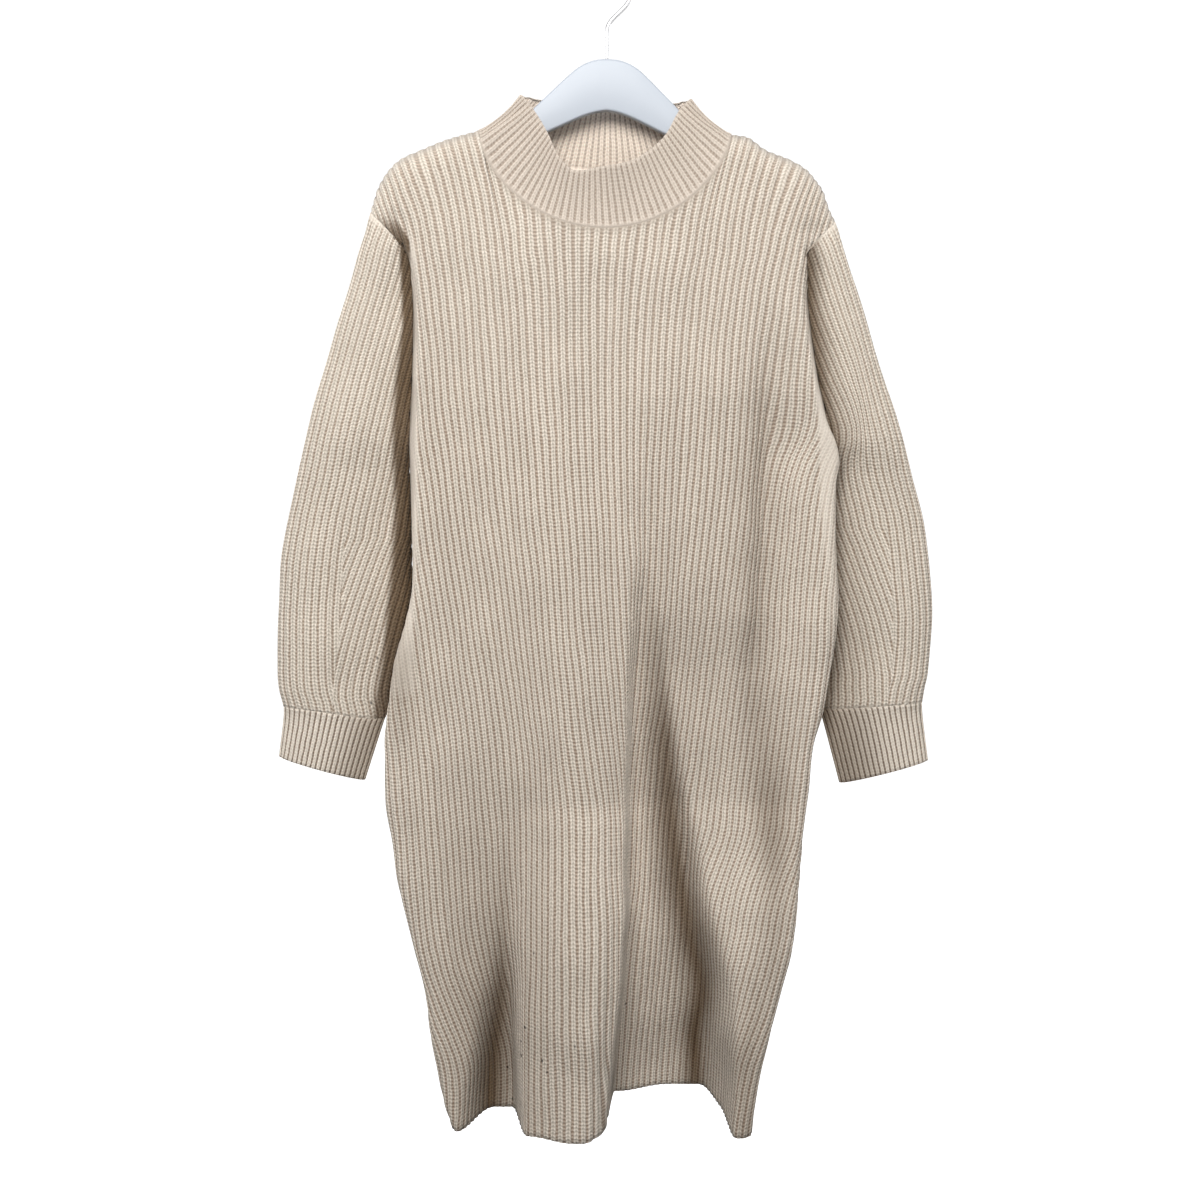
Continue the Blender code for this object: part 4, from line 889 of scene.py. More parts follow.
def knit_shell(name, outer, normals, knit, thick, relief, coarse, ring=False, merge=None, lip=0.9, top_lip=True, jumps=(), inside=None):
    """A closed shell of knit: a fine outer face with its ribs, a coarser inner face and rounded edges.

    outer is a grid of points in millimetres, knit a grid of (phase, stitch, softness, painted shade).
    coarse is (rows, columns) skipped on the inner face. With ring the last column joins the
    first, with merge it does so from that row down. jumps lists columns of faces on whose right
    or left side the ribs start anew; inside is the inner face's own painted shade value, which above 1.1 paints that
    face lighter."""
    rows, columns = outer.shape[:2]
    step_r, step_c = coarse
    height = rib_height(knit[..., 0])[..., None]
    soft = knit[..., 2][..., None]
    deep = knit.shape[2]
    face = outer + normals * (relief * (height - 0.62) * (1 - soft) + 0.2)
    r_in = list(range(0, rows - 1, step_r)) + [rows - 1]
    if merge is not None and merge not in r_in:
        r_in = sorted(set(r_in + [merge]))
    c_in = list(range(0, columns - 1, step_c)) + ([columns - 1] if not ring else [])
    if ring:
        c_in = list(range(0, columns, step_c))
    inner_height = rib_height(knit[..., 0] + 0.5)[..., None]
    back = outer - normals * (thick + 0.55 * relief * (inner_height - 0.62) * (1 - soft))
    vertices, corner_values, corners_of = [], [], []
    number_out = np.arange(rows * columns).reshape(rows, columns)
    vertices.append(face.reshape(-1, 3))
    sub = back[np.ix_(r_in, c_in)]
    number_in = rows * columns + np.arange(len(r_in) * len(c_in)).reshape(len(r_in), len(c_in))
    vertices.append(sub.reshape(-1, 3))
    count = rows * columns + len(r_in) * len(c_in)

    # A joined column's numbers are the first column's, but its knit values stay its own.
    def wrap(grid, at_row):
        whole = np.concatenate([grid, grid[:, :1]], axis=1) if ring else grid.copy()
        if merge is not None:
            start = at_row
            whole[start:, -1] = whole[start:, 0]
        return whole

    out_ids = wrap(number_out, merge or 0)
    in_ids = wrap(number_in, r_in.index(merge) if merge is not None else 0)
    faces, knits = [], []

    def value_grid(grid):
        if not ring:
            return grid
        last = grid[:, :1].copy()
        last[..., 0] = grid[:, -1:, 0] + (grid[:, -1:, 0] - grid[:, -2:-1, 0])
        return np.concatenate([grid, last], axis=1)

    knit_out = value_grid(knit)
    knit_in = value_grid(knit[np.ix_(r_in, c_in)])
    if ring:
        knit_in[:, -1] = knit_out[r_in, -1]
    if inside is not None:
        knit_in[..., 3] = inside
    quads = []
    quad_values = []
    for ids, vals, turn in ((out_ids, knit_out, False), (in_ids, knit_in, True)):
        a, b, c, d = ids[:-1, :-1], ids[1:, :-1], ids[1:, 1:], ids[:-1, 1:]
        va, vb, vc, vd = (v.copy() for v in (vals[:-1, :-1], vals[1:, :-1], vals[1:, 1:], vals[:-1, 1:]))
        for column, right, change in () if turn else jumps:
            upper, lower = (vd, vc) if right else (va, vb)
            upper[:, column, 0] += change[:-1]
            lower[:, column, 0] += change[1:]
        order = (a, d, c, b) if turn else (a, b, c, d)
        vorder = (va, vd, vc, vb) if turn else (va, vb, vc, vd)
        quads.append(np.stack([x.reshape(-1) for x in order], axis=1))
        quad_values.append(np.stack([x.reshape(-1, deep) for x in vorder], axis=1))
    tris, tri_values = [], []

    def rim(out_row, out_vals, in_row, direction, flip):
        """Rounded edge between a row of outer and a row of inner vertices."""
        nonlocal count
        pts_out = np.concatenate(vertices)[out_row]
        pts_in = np.concatenate(vertices)[in_row]
        far = np.interp(np.linspace(0, 1, len(out_row)), np.linspace(0, 1, len(in_row)), np.arange(len(in_row)))
        low = np.clip(far.astype(int), 0, len(in_row) - 2)
        part = (far - low)[:, None]
        across = pts_in[low] * (1 - part) + pts_in[low + 1] * part
        middle = (pts_out + across) / 2 + direction * lip
        closed_row = out_row[0] == out_row[-1]
        if closed_row:
            middle = middle[:-1]
        vertices.append(middle)
        mid = np.arange(count, count + len(middle))
        count += len(middle)
        if closed_row:
            mid = np.append(mid, mid[0])
        made = strip(list(mid), list(in_row))
        vals = {}
        for k, v in enumerate(mid[:-1] if closed_row else mid):
            vals[int(v)] = out_vals[k]
        for k, v in enumerate(in_row):
            vals[int(v)] = out_vals[min(int(round(k / (len(in_row) - 1) * (len(out_row) - 1))), len(out_row) - 1)]
        for k in range(len(out_row) - 1):
            q = [out_row[k], mid[k], mid[k + 1], out_row[k + 1]]
            v = [out_vals[k], out_vals[k], out_vals[k + 1], out_vals[k + 1]]
            if flip:
                q, v = q[::-1], v[::-1]
            quads.append(np.array([q]))
            quad_values.append(np.array([v]))
        for f in made:
            f = tuple(int(x) for x in f)
            v = [vals[x] for x in f]
            if flip:
                f, v = f[::-1], v[::-1]
            tris.append(f)
            tri_values.append(v)

    down = (outer[-1] - outer[-3])
    down /= np.maximum(np.linalg.norm(down, axis=1, keepdims=True), 1e-9)
    up = (outer[0] - outer[2])
    up /= np.maximum(np.linalg.norm(up, axis=1, keepdims=True), 1e-9)
    if ring:
        down, up = np.vstack([down, down[:1]]), np.vstack([up, up[:1]])
    rim(out_ids[-1], knit_out[-1], in_ids[-1], down, False)
    rim(out_ids[0], knit_out[0], in_ids[0], up * (1.0 if top_lip else 0.0), True)
    if not ring:
        last = rows - 1 if merge is None else merge
        last_in = len(r_in) - 1 if merge is None else r_in.index(merge)
        west = (outer[: last + 1, 0] - outer[: last + 1, 2])
        east = (outer[: last + 1, -1] - outer[: last + 1, -3])
        for edge in (west, east):
            edge /= np.maximum(np.linalg.norm(edge, axis=1, keepdims=True), 1e-9)
        rim(out_ids[: last + 1, 0], knit_out[: last + 1, 0], in_ids[: last_in + 1, 0], west * 0.0, False)
        rim(out_ids[: last + 1, -1], knit_out[: last + 1, -1], in_ids[: last_in + 1, -1], east * 0.0, True)
    points = np.concatenate(vertices) * MM
    quads, quad_values = np.concatenate(quads), np.concatenate(quad_values)
    used = np.unique(np.concatenate([quads.reshape(-1), np.array(tris).reshape(-1)]))
    number = -np.ones(len(points), int)
    number[used] = np.arange(len(used))
    return mesh_from(name, points[used], number[quads], quad_values, number[np.array(tris)], np.array(tri_values))


def mesh_from(name, points, quads, quad_values, tris, tri_values):
    """A mesh object with the knit values stored at its face corners."""
    mesh = bpy.data.meshes.new(name)
    loops = np.concatenate([quads.reshape(-1), tris.reshape(-1)]).astype(np.int32)
    sizes = np.concatenate([np.full(len(quads), 4), np.full(len(tris), 3)]).astype(np.int32)
    starts = np.concatenate([[0], np.cumsum(sizes)[:-1]]).astype(np.int32)
    mesh.vertices.add(len(points))
    mesh.vertices.foreach_set("co", points.astype(np.float32).reshape(-1))
    mesh.loops.add(len(loops))
    mesh.loops.foreach_set("vertex_index", loops)
    mesh.polygons.add(len(sizes))
    mesh.polygons.foreach_set("loop_start", starts)
    mesh.update(calc_edges=True)
    attribute = mesh.attributes.new("knit", "FLOAT_COLOR", "CORNER")
    values = np.concatenate([quad_values.reshape(-1, 4), tri_values.reshape(-1, 4)])
    attribute.data.foreach_set("color", values.astype(np.float32).reshape(-1))
    mesh.validate(clean_customdata=False)
    mesh.shade_smooth()
    mesh.update()
    obj = bpy.data.objects.new(name, mesh)
    bpy.context.scene.collection.objects.link(obj)
    shape = bmesh.new()
    shape.from_mesh(mesh)
    if shape.calc_volume(signed=True) < 0:
        bmesh.ops.reverse_faces(shape, faces=shape.faces[:])
        shape.to_mesh(mesh)
    shape.free()
    return obj


def stitches_down(points, first=0.0):
    """Stitch numbers down each column of a grid."""
    step = np.linalg.norm(np.diff(points, axis=0), axis=2) / COURSE
    return first + np.vstack([np.zeros((1, points.shape[1])), np.cumsum(step, axis=0)])


# ---------------------------------------------------------------- front and back

# Where the ribs flatten out beside the front's turned edges: from x outwards, and how much.
STRIP_LEFT = table("z x much", (-262, -189, 0), (-290, -186.5, 0.75), (-560, -187, 0.75), (-630, -191.5, 0.75), (-686, -192, 0.62), (-708, -190, 0.5), (-724, -190, 0), (-800, -230, 0))
STRIP_RIGHT = table("z x much", (-262, 200, 0), (-296, 198, 0.5), (-336, 196, 0.7), (-386, 201, 0.85), (-440, 208, 0.85), (-470, 210, 0.7), (-520, 211, 0.5), (-600, 218, 0.3), (-700, 226, 0))


def smooth_strips(points):
    """How much the ribs flatten out at each point of the front."""
    x, z = points[..., 0], points[..., 2]
    left = at_level(STRIP_LEFT, "much", z) * ease((at_level(STRIP_LEFT, "x", z) - x) / 5 + 0.5)
    right = at_level(STRIP_RIGHT, "much", z) * ease((x - at_level(STRIP_RIGHT, "x", z)) / 5 + 0.5)
    return np.maximum(left, right)


# The body's right flank swells over the sleeve beside it, and the sleeve gives way.
FLANK = table("z out", (-300, 0), (-329, 1.5), (-367, 4.5), (-406, 9), (-436, 14.5), (-452, 16), (-463, 14.5), (-475, 10.5), (-485, 6.5), (-505, 2), (-530, 0))


def flanked(points, whole, none):
    """Moves the right flank out: fully at x = whole, not at all at x = none."""
    share = ease((points[..., 0] - none) / (whole - none))
    points = points.copy()
    points[..., 0] += at_level(FLANK, "out", points[..., 2]) * share * (points[..., 0] > 0) * (points[..., 2] < -300) * (points[..., 2] > -530)
    return points


ribs = np.arange(-HALF_RIBS * PER_RIB, HALF_RIBS * PER_RIB + 1) / PER_RIB
yoke_shares = sorted(set(list(np.linspace(0, 1, 22)[:-1]) + [JOIN_SHARE]))
body_levels = np.linspace(YOKE_LEVEL, -1140, 150)
grids, shells = {}, {}
for side in ("front", "back"):
    points, phase, left, right = panel_grid(side, ribs, yoke_shares, body_levels)
    points = flanked(points, 196.0, 130.0)
    outwards = (0, -1 if side == "front" else 1, 0)
    normals = normals_of(smooth_rows(points, 2), outwards=outwards)
    # Along the side seams and over the shoulder the wall is moved in as it is on the solid.
    normals[:, 0], normals[:, -1] = (-1, 0, 0), (1, 0, 0)
    for j in list(range(left + 1)) + list(range(right, len(ribs))):
        a, b = points[0, max(j - 1, 0)], points[0, min(j + 1, len(ribs) - 1)]
        if j == left:
            b = points[0, j]
        if j == right:
            a = points[0, j]
        size = math.hypot(b[0] - a[0], b[2] - a[2])
        normals[0, j] = (-(b[2] - a[2]) / size, 0, (b[0] - a[0]) / size)
    stitch = stitches_down(points)
    # One stitch number for a whole course, read off the plumb wale.
    centre = int(np.argmin(np.abs(ribs)))
    course = np.repeat(stitch[:, centre : centre + 1], len(ribs), axis=1)
    low = np.clip((np.arange(len(points)) - len(yoke_shares)) / 10, 0, 1)[:, None]
    course = course * low + (stitch - stitch[len(yoke_shares)] + stitch[len(yoke_shares), centre]) * (1 - low)
    swell = ripple(points[..., 0], points[..., 2], 5 if side == "front" else 9)
    fade = np.clip(np.minimum(np.arange(len(ribs)), np.arange(len(ribs))[::-1]) / 18, 0, 1)[None, :]
    fade = fade * np.clip(np.arange(len(points)) / 8, 0, 1)[:, None]
    points = points + normals * (swell * 0.7 * fade)[..., None]
    edge = np.minimum(np.arange(len(ribs)), np.arange(len(ribs))[::-1])
    soft = np.clip(1 - edge / 4, 0, 1)[None, :] * np.ones((len(points), 1))
    soft = np.maximum(soft, np.clip(1 - np.arange(len(points)) / 1.5, 0, 1)[:, None] * 0.45)
    if side == "front":
        soft = np.maximum(soft, smooth_strips(points))
    wander = ripple(points[..., 0] * 2.2, points[..., 2] * 1.5, 15 if side == "front" else 19) * 0.07
    knit = np.stack([phase + wander * fade, course, soft], axis=2)
    grids[side] = (points, normals, knit)
    shells[side] = dict(thick=CLOTH, relief=1.9, coarse=(2, 3))


# ---------------------------------------------------------------- sleeves and cuffs


def resample_ring(ring, count):
    """A closed line of points, with count points at even spacing from its first."""
    whole = np.vstack([ring, ring[:1]])
    length = np.concatenate([[0], np.cumsum(np.linalg.norm(np.diff(whole, axis=0), axis=1))])
    at = np.linspace(0, length[-1], count, endpoint=False)
    return np.column_stack([np.interp(at, length, whole[:, i]) for i in range(3)])


# Where the sleeve is narrowed by fashioning: distance of that line from the outer fold, and its levels.
FASHION = {"left": (70.0, -563.0, -726.0), "right": (46.0, -552.0, -726.0)}
FASHION_TILT = 0.262

for name, rows, seams, cuff, level in (
    ("left", SLEEVE_LEFT, SEAM_LEFT, CUFF_LEFT, SHOULDER_LEVEL_LEFT),
    ("right", SLEEVE_RIGHT, SEAM_RIGHT, CUFF_RIGHT, SHOULDER_LEVEL_RIGHT),
):
    half_columns, fan_rows, lower_rows = 108, 60, 78
    points, reach, arcs = sleeve_grid(rows, seams, cuff, level, half_columns, np.linspace(0, 1, fan_rows + 1), lower_rows)
    if name == "right":
        points = flanked(points, 214.0, 275.0)
    merge = fan_rows
    points[merge:, -1] = points[merge:, 0]
    sideways = np.sign(points[merge + 10, half_columns, 0]) * np.array([1.0, 0, 0])
    normals = normals_of(smooth_rows(points, 1), outwards=sideways)
    lower = normals_of(points[merge:, :-1], ring=True, outwards=-sideways)
    normals[merge + 1 :, :-1] = lower[1:]
    normals[merge + 1 :, -1] = lower[1:, 0]
    normals[merge, -1] = normals[merge, 0] = lower[0, 0]
    normals = level_normals(slit_normals(normals, points, merge), -1)
    edge = points[0, half_columns] - points[0, 0]
    across = np.array([edge[2], 0.0, -edge[0]]) / math.hypot(edge[0], edge[2])
    normals[0] -= np.outer(normals[0] @ across, across)
    normals[0] /= np.maximum(np.linalg.norm(normals[0], axis=1, keepdims=True), 1e-9)
    line, start, stop = FASHION[name]
    z = points[..., 2]
    tilt = FASHION_TILT * np.clip(start - z, 0, start - stop)
    middle_row = int(np.argmin(np.abs(z[:, half_columns] - (start + stop) / 2)))
    turn_at = int(np.argmin(np.abs(reach[middle_row, : half_columns + 1] - line)))
    away = half_columns - turn_at
    inner = np.abs(np.arange(points.shape[1]) - half_columns)[None, :] > away
    phase = (reach + np.where(inner, tilt, 0)) / SLEEVE_PITCH + 0.5
    jumps = [
        (half_columns - away - 1, True, -tilt[:, half_columns - away] / SLEEVE_PITCH),
        (half_columns + away, False, tilt[:, half_columns + away] / SLEEVE_PITCH),
    ]
    stitch = stitches_down(points)
    stitch = np.repeat(stitch[:, half_columns : half_columns + 1], points.shape[1], axis=1)
    soft = np.clip(1 - np.arange(len(points)) / 2.0, 0, 1)[:, None] * np.ones((1, points.shape[1]))
    soft[-1:] = 0.25
    swell = ripple(points[..., 0] + 2 * points[..., 1], z, 21 if name == "left" else 33)
    fade = np.clip(np.arange(len(points)) / 8, 0, 1)[:, None] * np.clip(np.arange(len(points))[::-1] / 8, 0, 1)[:, None]
    points = points + normals * (swell * 0.8 * fade)[..., None]
    points[merge:, -1] = points[merge:, 0]
    knit = np.stack([phase * np.where(arcs < 0, -1, 1)[None, :], stitch, soft], axis=2)
    grids["sleeve_" + name] = (points, normals, knit)
    shells["sleeve_" + name] = dict(thick=CLOTH, relief=1.7, coarse=(2, 3), merge=merge, jumps=jumps)
    sleeve_last = points[-1, :-1].copy()

    # Cuff: a ring of finer ribs below the sleeve's last row.
    cuff_ribs = 40
    columns = cuff_ribs * 6
    order = [(half_columns + k) % (2 * half_columns) for k in range(2 * half_columns)]
    first = resample_ring(sleeve_last[order], columns)
    grid = []
    for share in np.linspace(0, 1, 25):
        angle = np.linspace(0, 2 * math.pi, 720, endpoint=False)
        values = {k: cuff[k][0] + (cuff[k][1] - cuff[k][0]) * share for k in cuff}
        t = (1 + np.cos(angle)) / 2
        ring = np.column_stack(
            [
                values["x_in"] + (values["x_out"] - values["x_in"]) * t,
                values["y"] + values["half"] * np.sin(angle),
                values["z_in"] + (values["z_out"] - values["z_in"]) * t,
            ]
        )
        grid.append(resample_ring(ring, columns))
    grid = np.array(grid)
    if np.linalg.norm(first[columns // 4] - grid[0, columns // 4]) > np.linalg.norm(first[-columns // 4] - grid[0, columns // 4]):
        first = np.roll(first[::-1], 1, axis=0)
    gap = first - grid[0]
    fade = np.exp(-np.linspace(0, 1, 25) * 7)[:, None, None]
    grid = grid + gap[None] * fade
    grid[0, :, 2] -= SEAM_GAP
    normals = level_normals(normals_of(grid, ring=True, outwards=sideways), 0)
    phase = np.repeat((np.arange(columns) / 6.0)[None, :], len(grid), axis=0)
    stitch = np.repeat(stitches_down(grid)[:, :1], columns, axis=1) * COURSE / 3.0
    soft = np.clip(0.25 - np.arange(len(grid)) / 4, 0, 1)[:, None] * np.ones((1, columns))
    knit = np.stack([phase, stitch, soft], axis=2)
    grids["cuff_" + name] = (grid, normals, knit)
    shells["cuff_" + name] = dict(thick=CUFF_CLOTH, relief=1.5, coarse=(2, 2), ring=True, lip=0.8)


# ---------------------------------------------------------------- collar

FRONT_COLLAR_RIBS = 50
BACK_COLLAR_RIBS = 42
COLLAR_ROWS = 27


def even_line(points, count):
    """An open line of points at even spacing."""
    length = np.concatenate([[0], np.cumsum(np.linalg.norm(np.diff(points, axis=0), axis=1))])
    at = np.linspace(0, length[-1], count)
    return np.column_stack([np.interp(at, length, points[:, i]) for i in range(3)])


def rim_line(rows_of, count):
    fine = np.linspace(rows_of["x"][0], rows_of["x"][-1], 301)
    line = np.column_stack([fine, along(rows_of["y"], rows_of["x"], fine), along(rows_of["z"], rows_of["x"], fine)])
    return even_line(line, count)


front_base = even_line(grids["front"][0][0, left : right + 1], FRONT_COLLAR_RIBS * 6 + 1)
back_base = even_line(grids["back"][0][0, left : right + 1], BACK_COLLAR_RIBS * 6 + 1)
base = np.vstack([front_base, back_base[1:-1][::-1]])
top = np.vstack([rim_line(COLLAR_FRONT, FRONT_COLLAR_RIBS * 6 + 1), rim_line(COLLAR_BACK, BACK_COLLAR_RIBS * 6 + 1)[1:-1][::-1]])
lean = (top - base) / np.linalg.norm(top - base, axis=1, keepdims=True)
start = base + lean * SEAM_GAP
grid = []
for share in np.linspace(0, 1, COLLAR_ROWS):
    row = top + (start - top) * share
    inwards = np.clip(np.abs(row[:, 1]) / 20, 0, 1) ** 2
    row[:, 1] -= np.sign(row[:, 1]) * math.sin(math.pi * share) * 2.5 * inwards
    clear = HANGER_THICK / 2 + CLOTH + 2.4
    fold = np.minimum(np.abs(np.arange(len(row)) - 0), np.abs(np.arange(len(row)) - FRONT_COLLAR_RIBS * 6))
    fold = np.minimum(fold, len(row) - np.arange(len(row)))
    away = np.clip(fold / 16, 0, 1)
    row[:, 1] = np.sign(base[:, 1]) * np.maximum(np.abs(row[:, 1]), clear * np.sqrt(1 - (1 - away) ** 2))
    # The side folds draw in a little between the seam and the rim.
    row[:, 0] -= np.sign(row[:, 0]) * math.sin(math.pi * share) * 4.0 * np.clip(1 - np.abs(row[:, 1]) / 16, 0, 1)
    row[:, 2] -= math.sin(math.pi * share) * 3.0 * np.clip(1 - np.abs(row[:, 1]) / 16, 0, 1)
    grid.append(row)
grid = np.array(grid)
grid = smooth_rows(grid, 2, ring=True)
normals = normals_of(grid, ring=True, outwards=(-1, 0, 0))
columns = grid.shape[1]
phase = np.repeat((np.arange(columns) / 6.0)[None, :], COLLAR_ROWS, axis=0)
stitch = np.repeat(stitches_down(grid)[:, 100:101], columns, axis=1) * COURSE / 3.2
rows_up = np.arange(COLLAR_ROWS)[::-1]
soft = np.clip(1 - rows_up / 1.6, 0, 1)[:, None] * np.ones((1, columns))
soft[0] = 0.35
knit = np.stack([phase, stitch, soft], axis=2)
# The linked seam stands a little proud of both pieces.
proud = np.exp(-((rows_up - 0.6) ** 2) / 0.9)[:, None, None] * 0.9
grids["collar"] = (grid + normals * proud, normals, knit)
# The collar's inner face carries 1.44 in its shade channel, which paints it lighter: painted light.
shells["collar"] = dict(thick=CLOTH, relief=1.1, coarse=(1, 2), ring=True, lip=1.0, inside=1.44)


# ---------------------------------------------------------------- how open each place is, and the painted shade

REACH = 130.0
RAYS = 26


def openness():
    """For each piece, a grid of how much of its surroundings lies open, 1 on a free flat face."""
    vertices, faces, coarse = [], [], {}
    for key, (points, normals, knit) in grids.items():
        rows, columns = points.shape[:2]
        ring = shells[key].get("ring", False)
        r = np.unique(np.linspace(0, rows - 1, max(rows // 3, 7)).round().astype(int))
        c = np.unique(np.linspace(0, columns - 1, max(columns // 6, 9)).round().astype(int))
        sub = points[np.ix_(r, c)]
        base = len(vertices)
        vertices += [tuple(p) for p in sub.reshape(-1, 3)]
        ids = base + np.arange(len(r) * len(c)).reshape(len(r), len(c))
        faces += [tuple(int(x) for x in q) for q in np.stack([ids[:-1, :-1], ids[1:, :-1], ids[1:, 1:], ids[:-1, 1:]], axis=2).reshape(-1, 4)]
        coarse[key] = (r, c, sub, normals[np.ix_(r, c)])
    tree = BVHTree.FromPolygons(vertices, faces)
    k = np.arange(RAYS) + 0.5
    tilt = np.sqrt(k / RAYS)
    turn = math.pi * (1 + 5**0.5) * k
    rays = np.column_stack([tilt * np.cos(turn), tilt * np.sin(turn), np.sqrt(1 - tilt**2)])
    out = {}
    for key, (r, c, sub, away) in coarse.items():
        flat, up = sub.reshape(-1, 3), away.reshape(-1, 3)
        helper = np.where(np.abs(up[:, 2:3]) < 0.9, [[0.0, 0, 1]], [[1.0, 0, 0]])
        u = np.cross(helper, up)
        u /= np.maximum(np.linalg.norm(u, axis=1, keepdims=True), 1e-9)
        v = np.cross(up, u)
        start = flat + up * 3.0
        value = np.zeros(len(flat))
        for a, b, d in rays:
            heading = u * a + v * b + up * d
            for i in range(len(flat)):
                hit = tree.ray_cast(Vector(start[i]), Vector(heading[i]), REACH)
                value[i] += 1.0 if hit[3] is None else (hit[3] / REACH) ** 0.7
        value = smooth_rows((value / RAYS).reshape(len(r), len(c)), 1)
        rows, columns = grids[key][0].shape[:2]
        across = np.array([np.interp(np.arange(columns), c, row) for row in value])
        out[key] = np.array([np.interp(np.arange(rows), r, across[:, j]) for j in range(columns)]).T
    return out


# Painted shade in the creases of the front, from the top down: height, middle, width to the left and right, and how
# dark; below 0 the wool is painted lighter.
PAINTED_CREASES = (
    # beside the left corner of the hem
    table("z x west east dark", (-900, -106, 5, 5, 0), (-966, -106, 6, 6, 0.28), (-1000, -106, 8, 8, 0.6), (-1027, -108, 12, 11, 0.8), (-1050, -111, 12, 12, 0.92), (-1078, -115, 13, 14, 0.98), (-1118, -118, 14, 15, 1.0), (-1165, -119, 14, 15, 1.0)),
    # the long one right of the middle bulge
    table("z x west east dark", (-590, 43, 8, 6, 0), (-623, 45, 12, 7, 0.14), (-703, 55, 22, 8, 0.45), (-783, 61.5, 24, 10, 0.82), (-844, 65.5, 23, 14, 0.87), (-904, 73.5, 24, 14, 0.9), (-966, 83.5, 19, 24, 0.92), (-1027, 98, 20, 14, 0.96), (-1078, 91, 15, 14, 1.0), (-1120, 92, 15, 14, 0.95), (-1165, 90, 15, 14, 0.9)),
    # the broad shade over the hem's left part
    table("z x west east dark", (-760, -126, 50, 70, 0), (-783, -126, 50, 70, 0.05), (-844, -124, 52, 66, 0.14), (-904, -122, 54, 66, 0.22), (-966, -120, 54, 68, 0.28), (-1027, -124, 52, 66, 0.37), (-1078, -124, 46, 62, 0.33), (-1165, -126, 40, 62, 0.35)),
    # down the right flank
    table("z x west east dark", (-380, 152, 12, 12, 0), (-426, 151.5, 14, 15, 0.22), (-524, 146, 17, 19, 0.27), (-623, 144.5, 17, 23, 0.27), (-703, 145, 16, 25, 0.28), (-783, 159.5, 24, 25, 0.36), (-844, 163, 18, 25, 0.52), (-904, 167.5, 16, 17, 0.36), (-966, 165, 16, 14, 0.26), (-1020, 160, 16, 14, 0)),
    # in the left flank, level with the elbow
    table("z x west east dark", (-640, -200, 16, 12, 0), (-680, -203, 18, 13, 0.3), (-703, -203, 18, 13, 0.33), (-740, -205, 18, 13, 0.2), (-775, -206, 18, 13, 0)),
    # the middle bulge's right side, painted lighter: painted light
    table("z x west east dark", (-660, 18, 12, 12, 0), (-703, 22, 12, 12, -0.2), (-783, 23, 12, 12, -0.25), (-966, 24, 14, 14, -0.35), (-1027, 34, 14, 14, -0.35), (-1078, 20, 14, 14, -0.4), (-1165, 20, 14, 14, -0.4)),
    # beside the right corner of the hem
    table("z x west east dark", (-970, 152, 14, 16, 0), (-1027, 150, 18, 20, 0.26), (-1078, 137, 20, 18, 0.4), (-1165, 137, 20, 18, 0.42)),
)


# Where each sleeve turns in beside the body, in the body's shade: full as far out as x, then fading.
SLEEVE_SHADE = {
    "sleeve_left": table("z x fade dark", (-236, -199, 6, 0), (-250, -200, 6, 0.45), (-262, -201.3, 6, 0.9), (-300, -201, 6, 0.97), (-349, -200, 7, 0.97), (-380, -203, 8, 0.97), (-408, -206, 9, 0.97), (-466, -208.5, 11, 0.95), (-524, -208, 11, 0.95), (-584, -211.5, 11, 0.95), (-640, -217.5, 10, 0.95), (-686, -222.5, 10, 0.92), (-726, -230, 9, 0.85), (-760, -233, 10, 0.7)),
    "sleeve_right": table("z x fade dark", (-236, 198, 20, 0), (-262, 198, 18, 0.7), (-300, 197.5, 24, 0.88), (-329, 197, 28, 0.9), (-367, 201, 35, 0.84), (-406, 207.5, 36, 0.62), (-446, 219, 36, 0.48), (-485, 230, 26, 0.4), (-524, 228, 36, 0.3), (-584, 232, 50, 0.3), (-672, 229, 60, 0.36), (-730, 222, 60, 0.42), (-770, 216, 50, 0.42)),
}


def painted_creases(points):
    """What the creases leave of the light at each point of the front."""
    left = np.ones(points.shape[:2])
    z = points[..., 2]
    for crease in PAINTED_CREASES:
        off = points[..., 0] - at_level(crease, "x", z)
        wide = np.where(off < 0, at_level(crease, "west", z), at_level(crease, "east", z))
        dark = at_level(crease, "dark", z) * (z < crease["z"].max())
        left = left * (1 - dark * np.exp(-(np.abs(off / wide) ** 1.9)))
    return left


# Painted shade where the front's left edge folds under above the armhole.
PAINTED_TUCK_SHADE = table("z x dark", (-246, -208, 0), (-252, -204, 0.5), (-262, -198.5, 0.85), (-274, -193, 0.95), (-300, -193.5, 0.92), (-349, -194.5, 0.85), (-380, -196, 0.5), (-400, -197, 0))


def painted_tuck_shade(points):
    z = points[..., 2]
    within = (at_level(PAINTED_TUCK_SHADE, "x", z) - points[..., 0]) / 3.0 + 0.5
    dark = at_level(PAINTED_TUCK_SHADE, "dark", z) * ((z < -246) & (z > -400))
    return 1 - dark * ease(within)


# Painted shade: the less open a place is, the darker its wool is painted; the front gets more painted shade in its
# creases and under its tucked edge.
shade_of = {key: ease((value - 0.25) / 0.61) for key, value in openness().items()}
shade_of["front"] = np.minimum(shade_of["front"] * painted_creases(grids["front"][0]) * painted_tuck_shade(grids["front"][0]), 1.0)
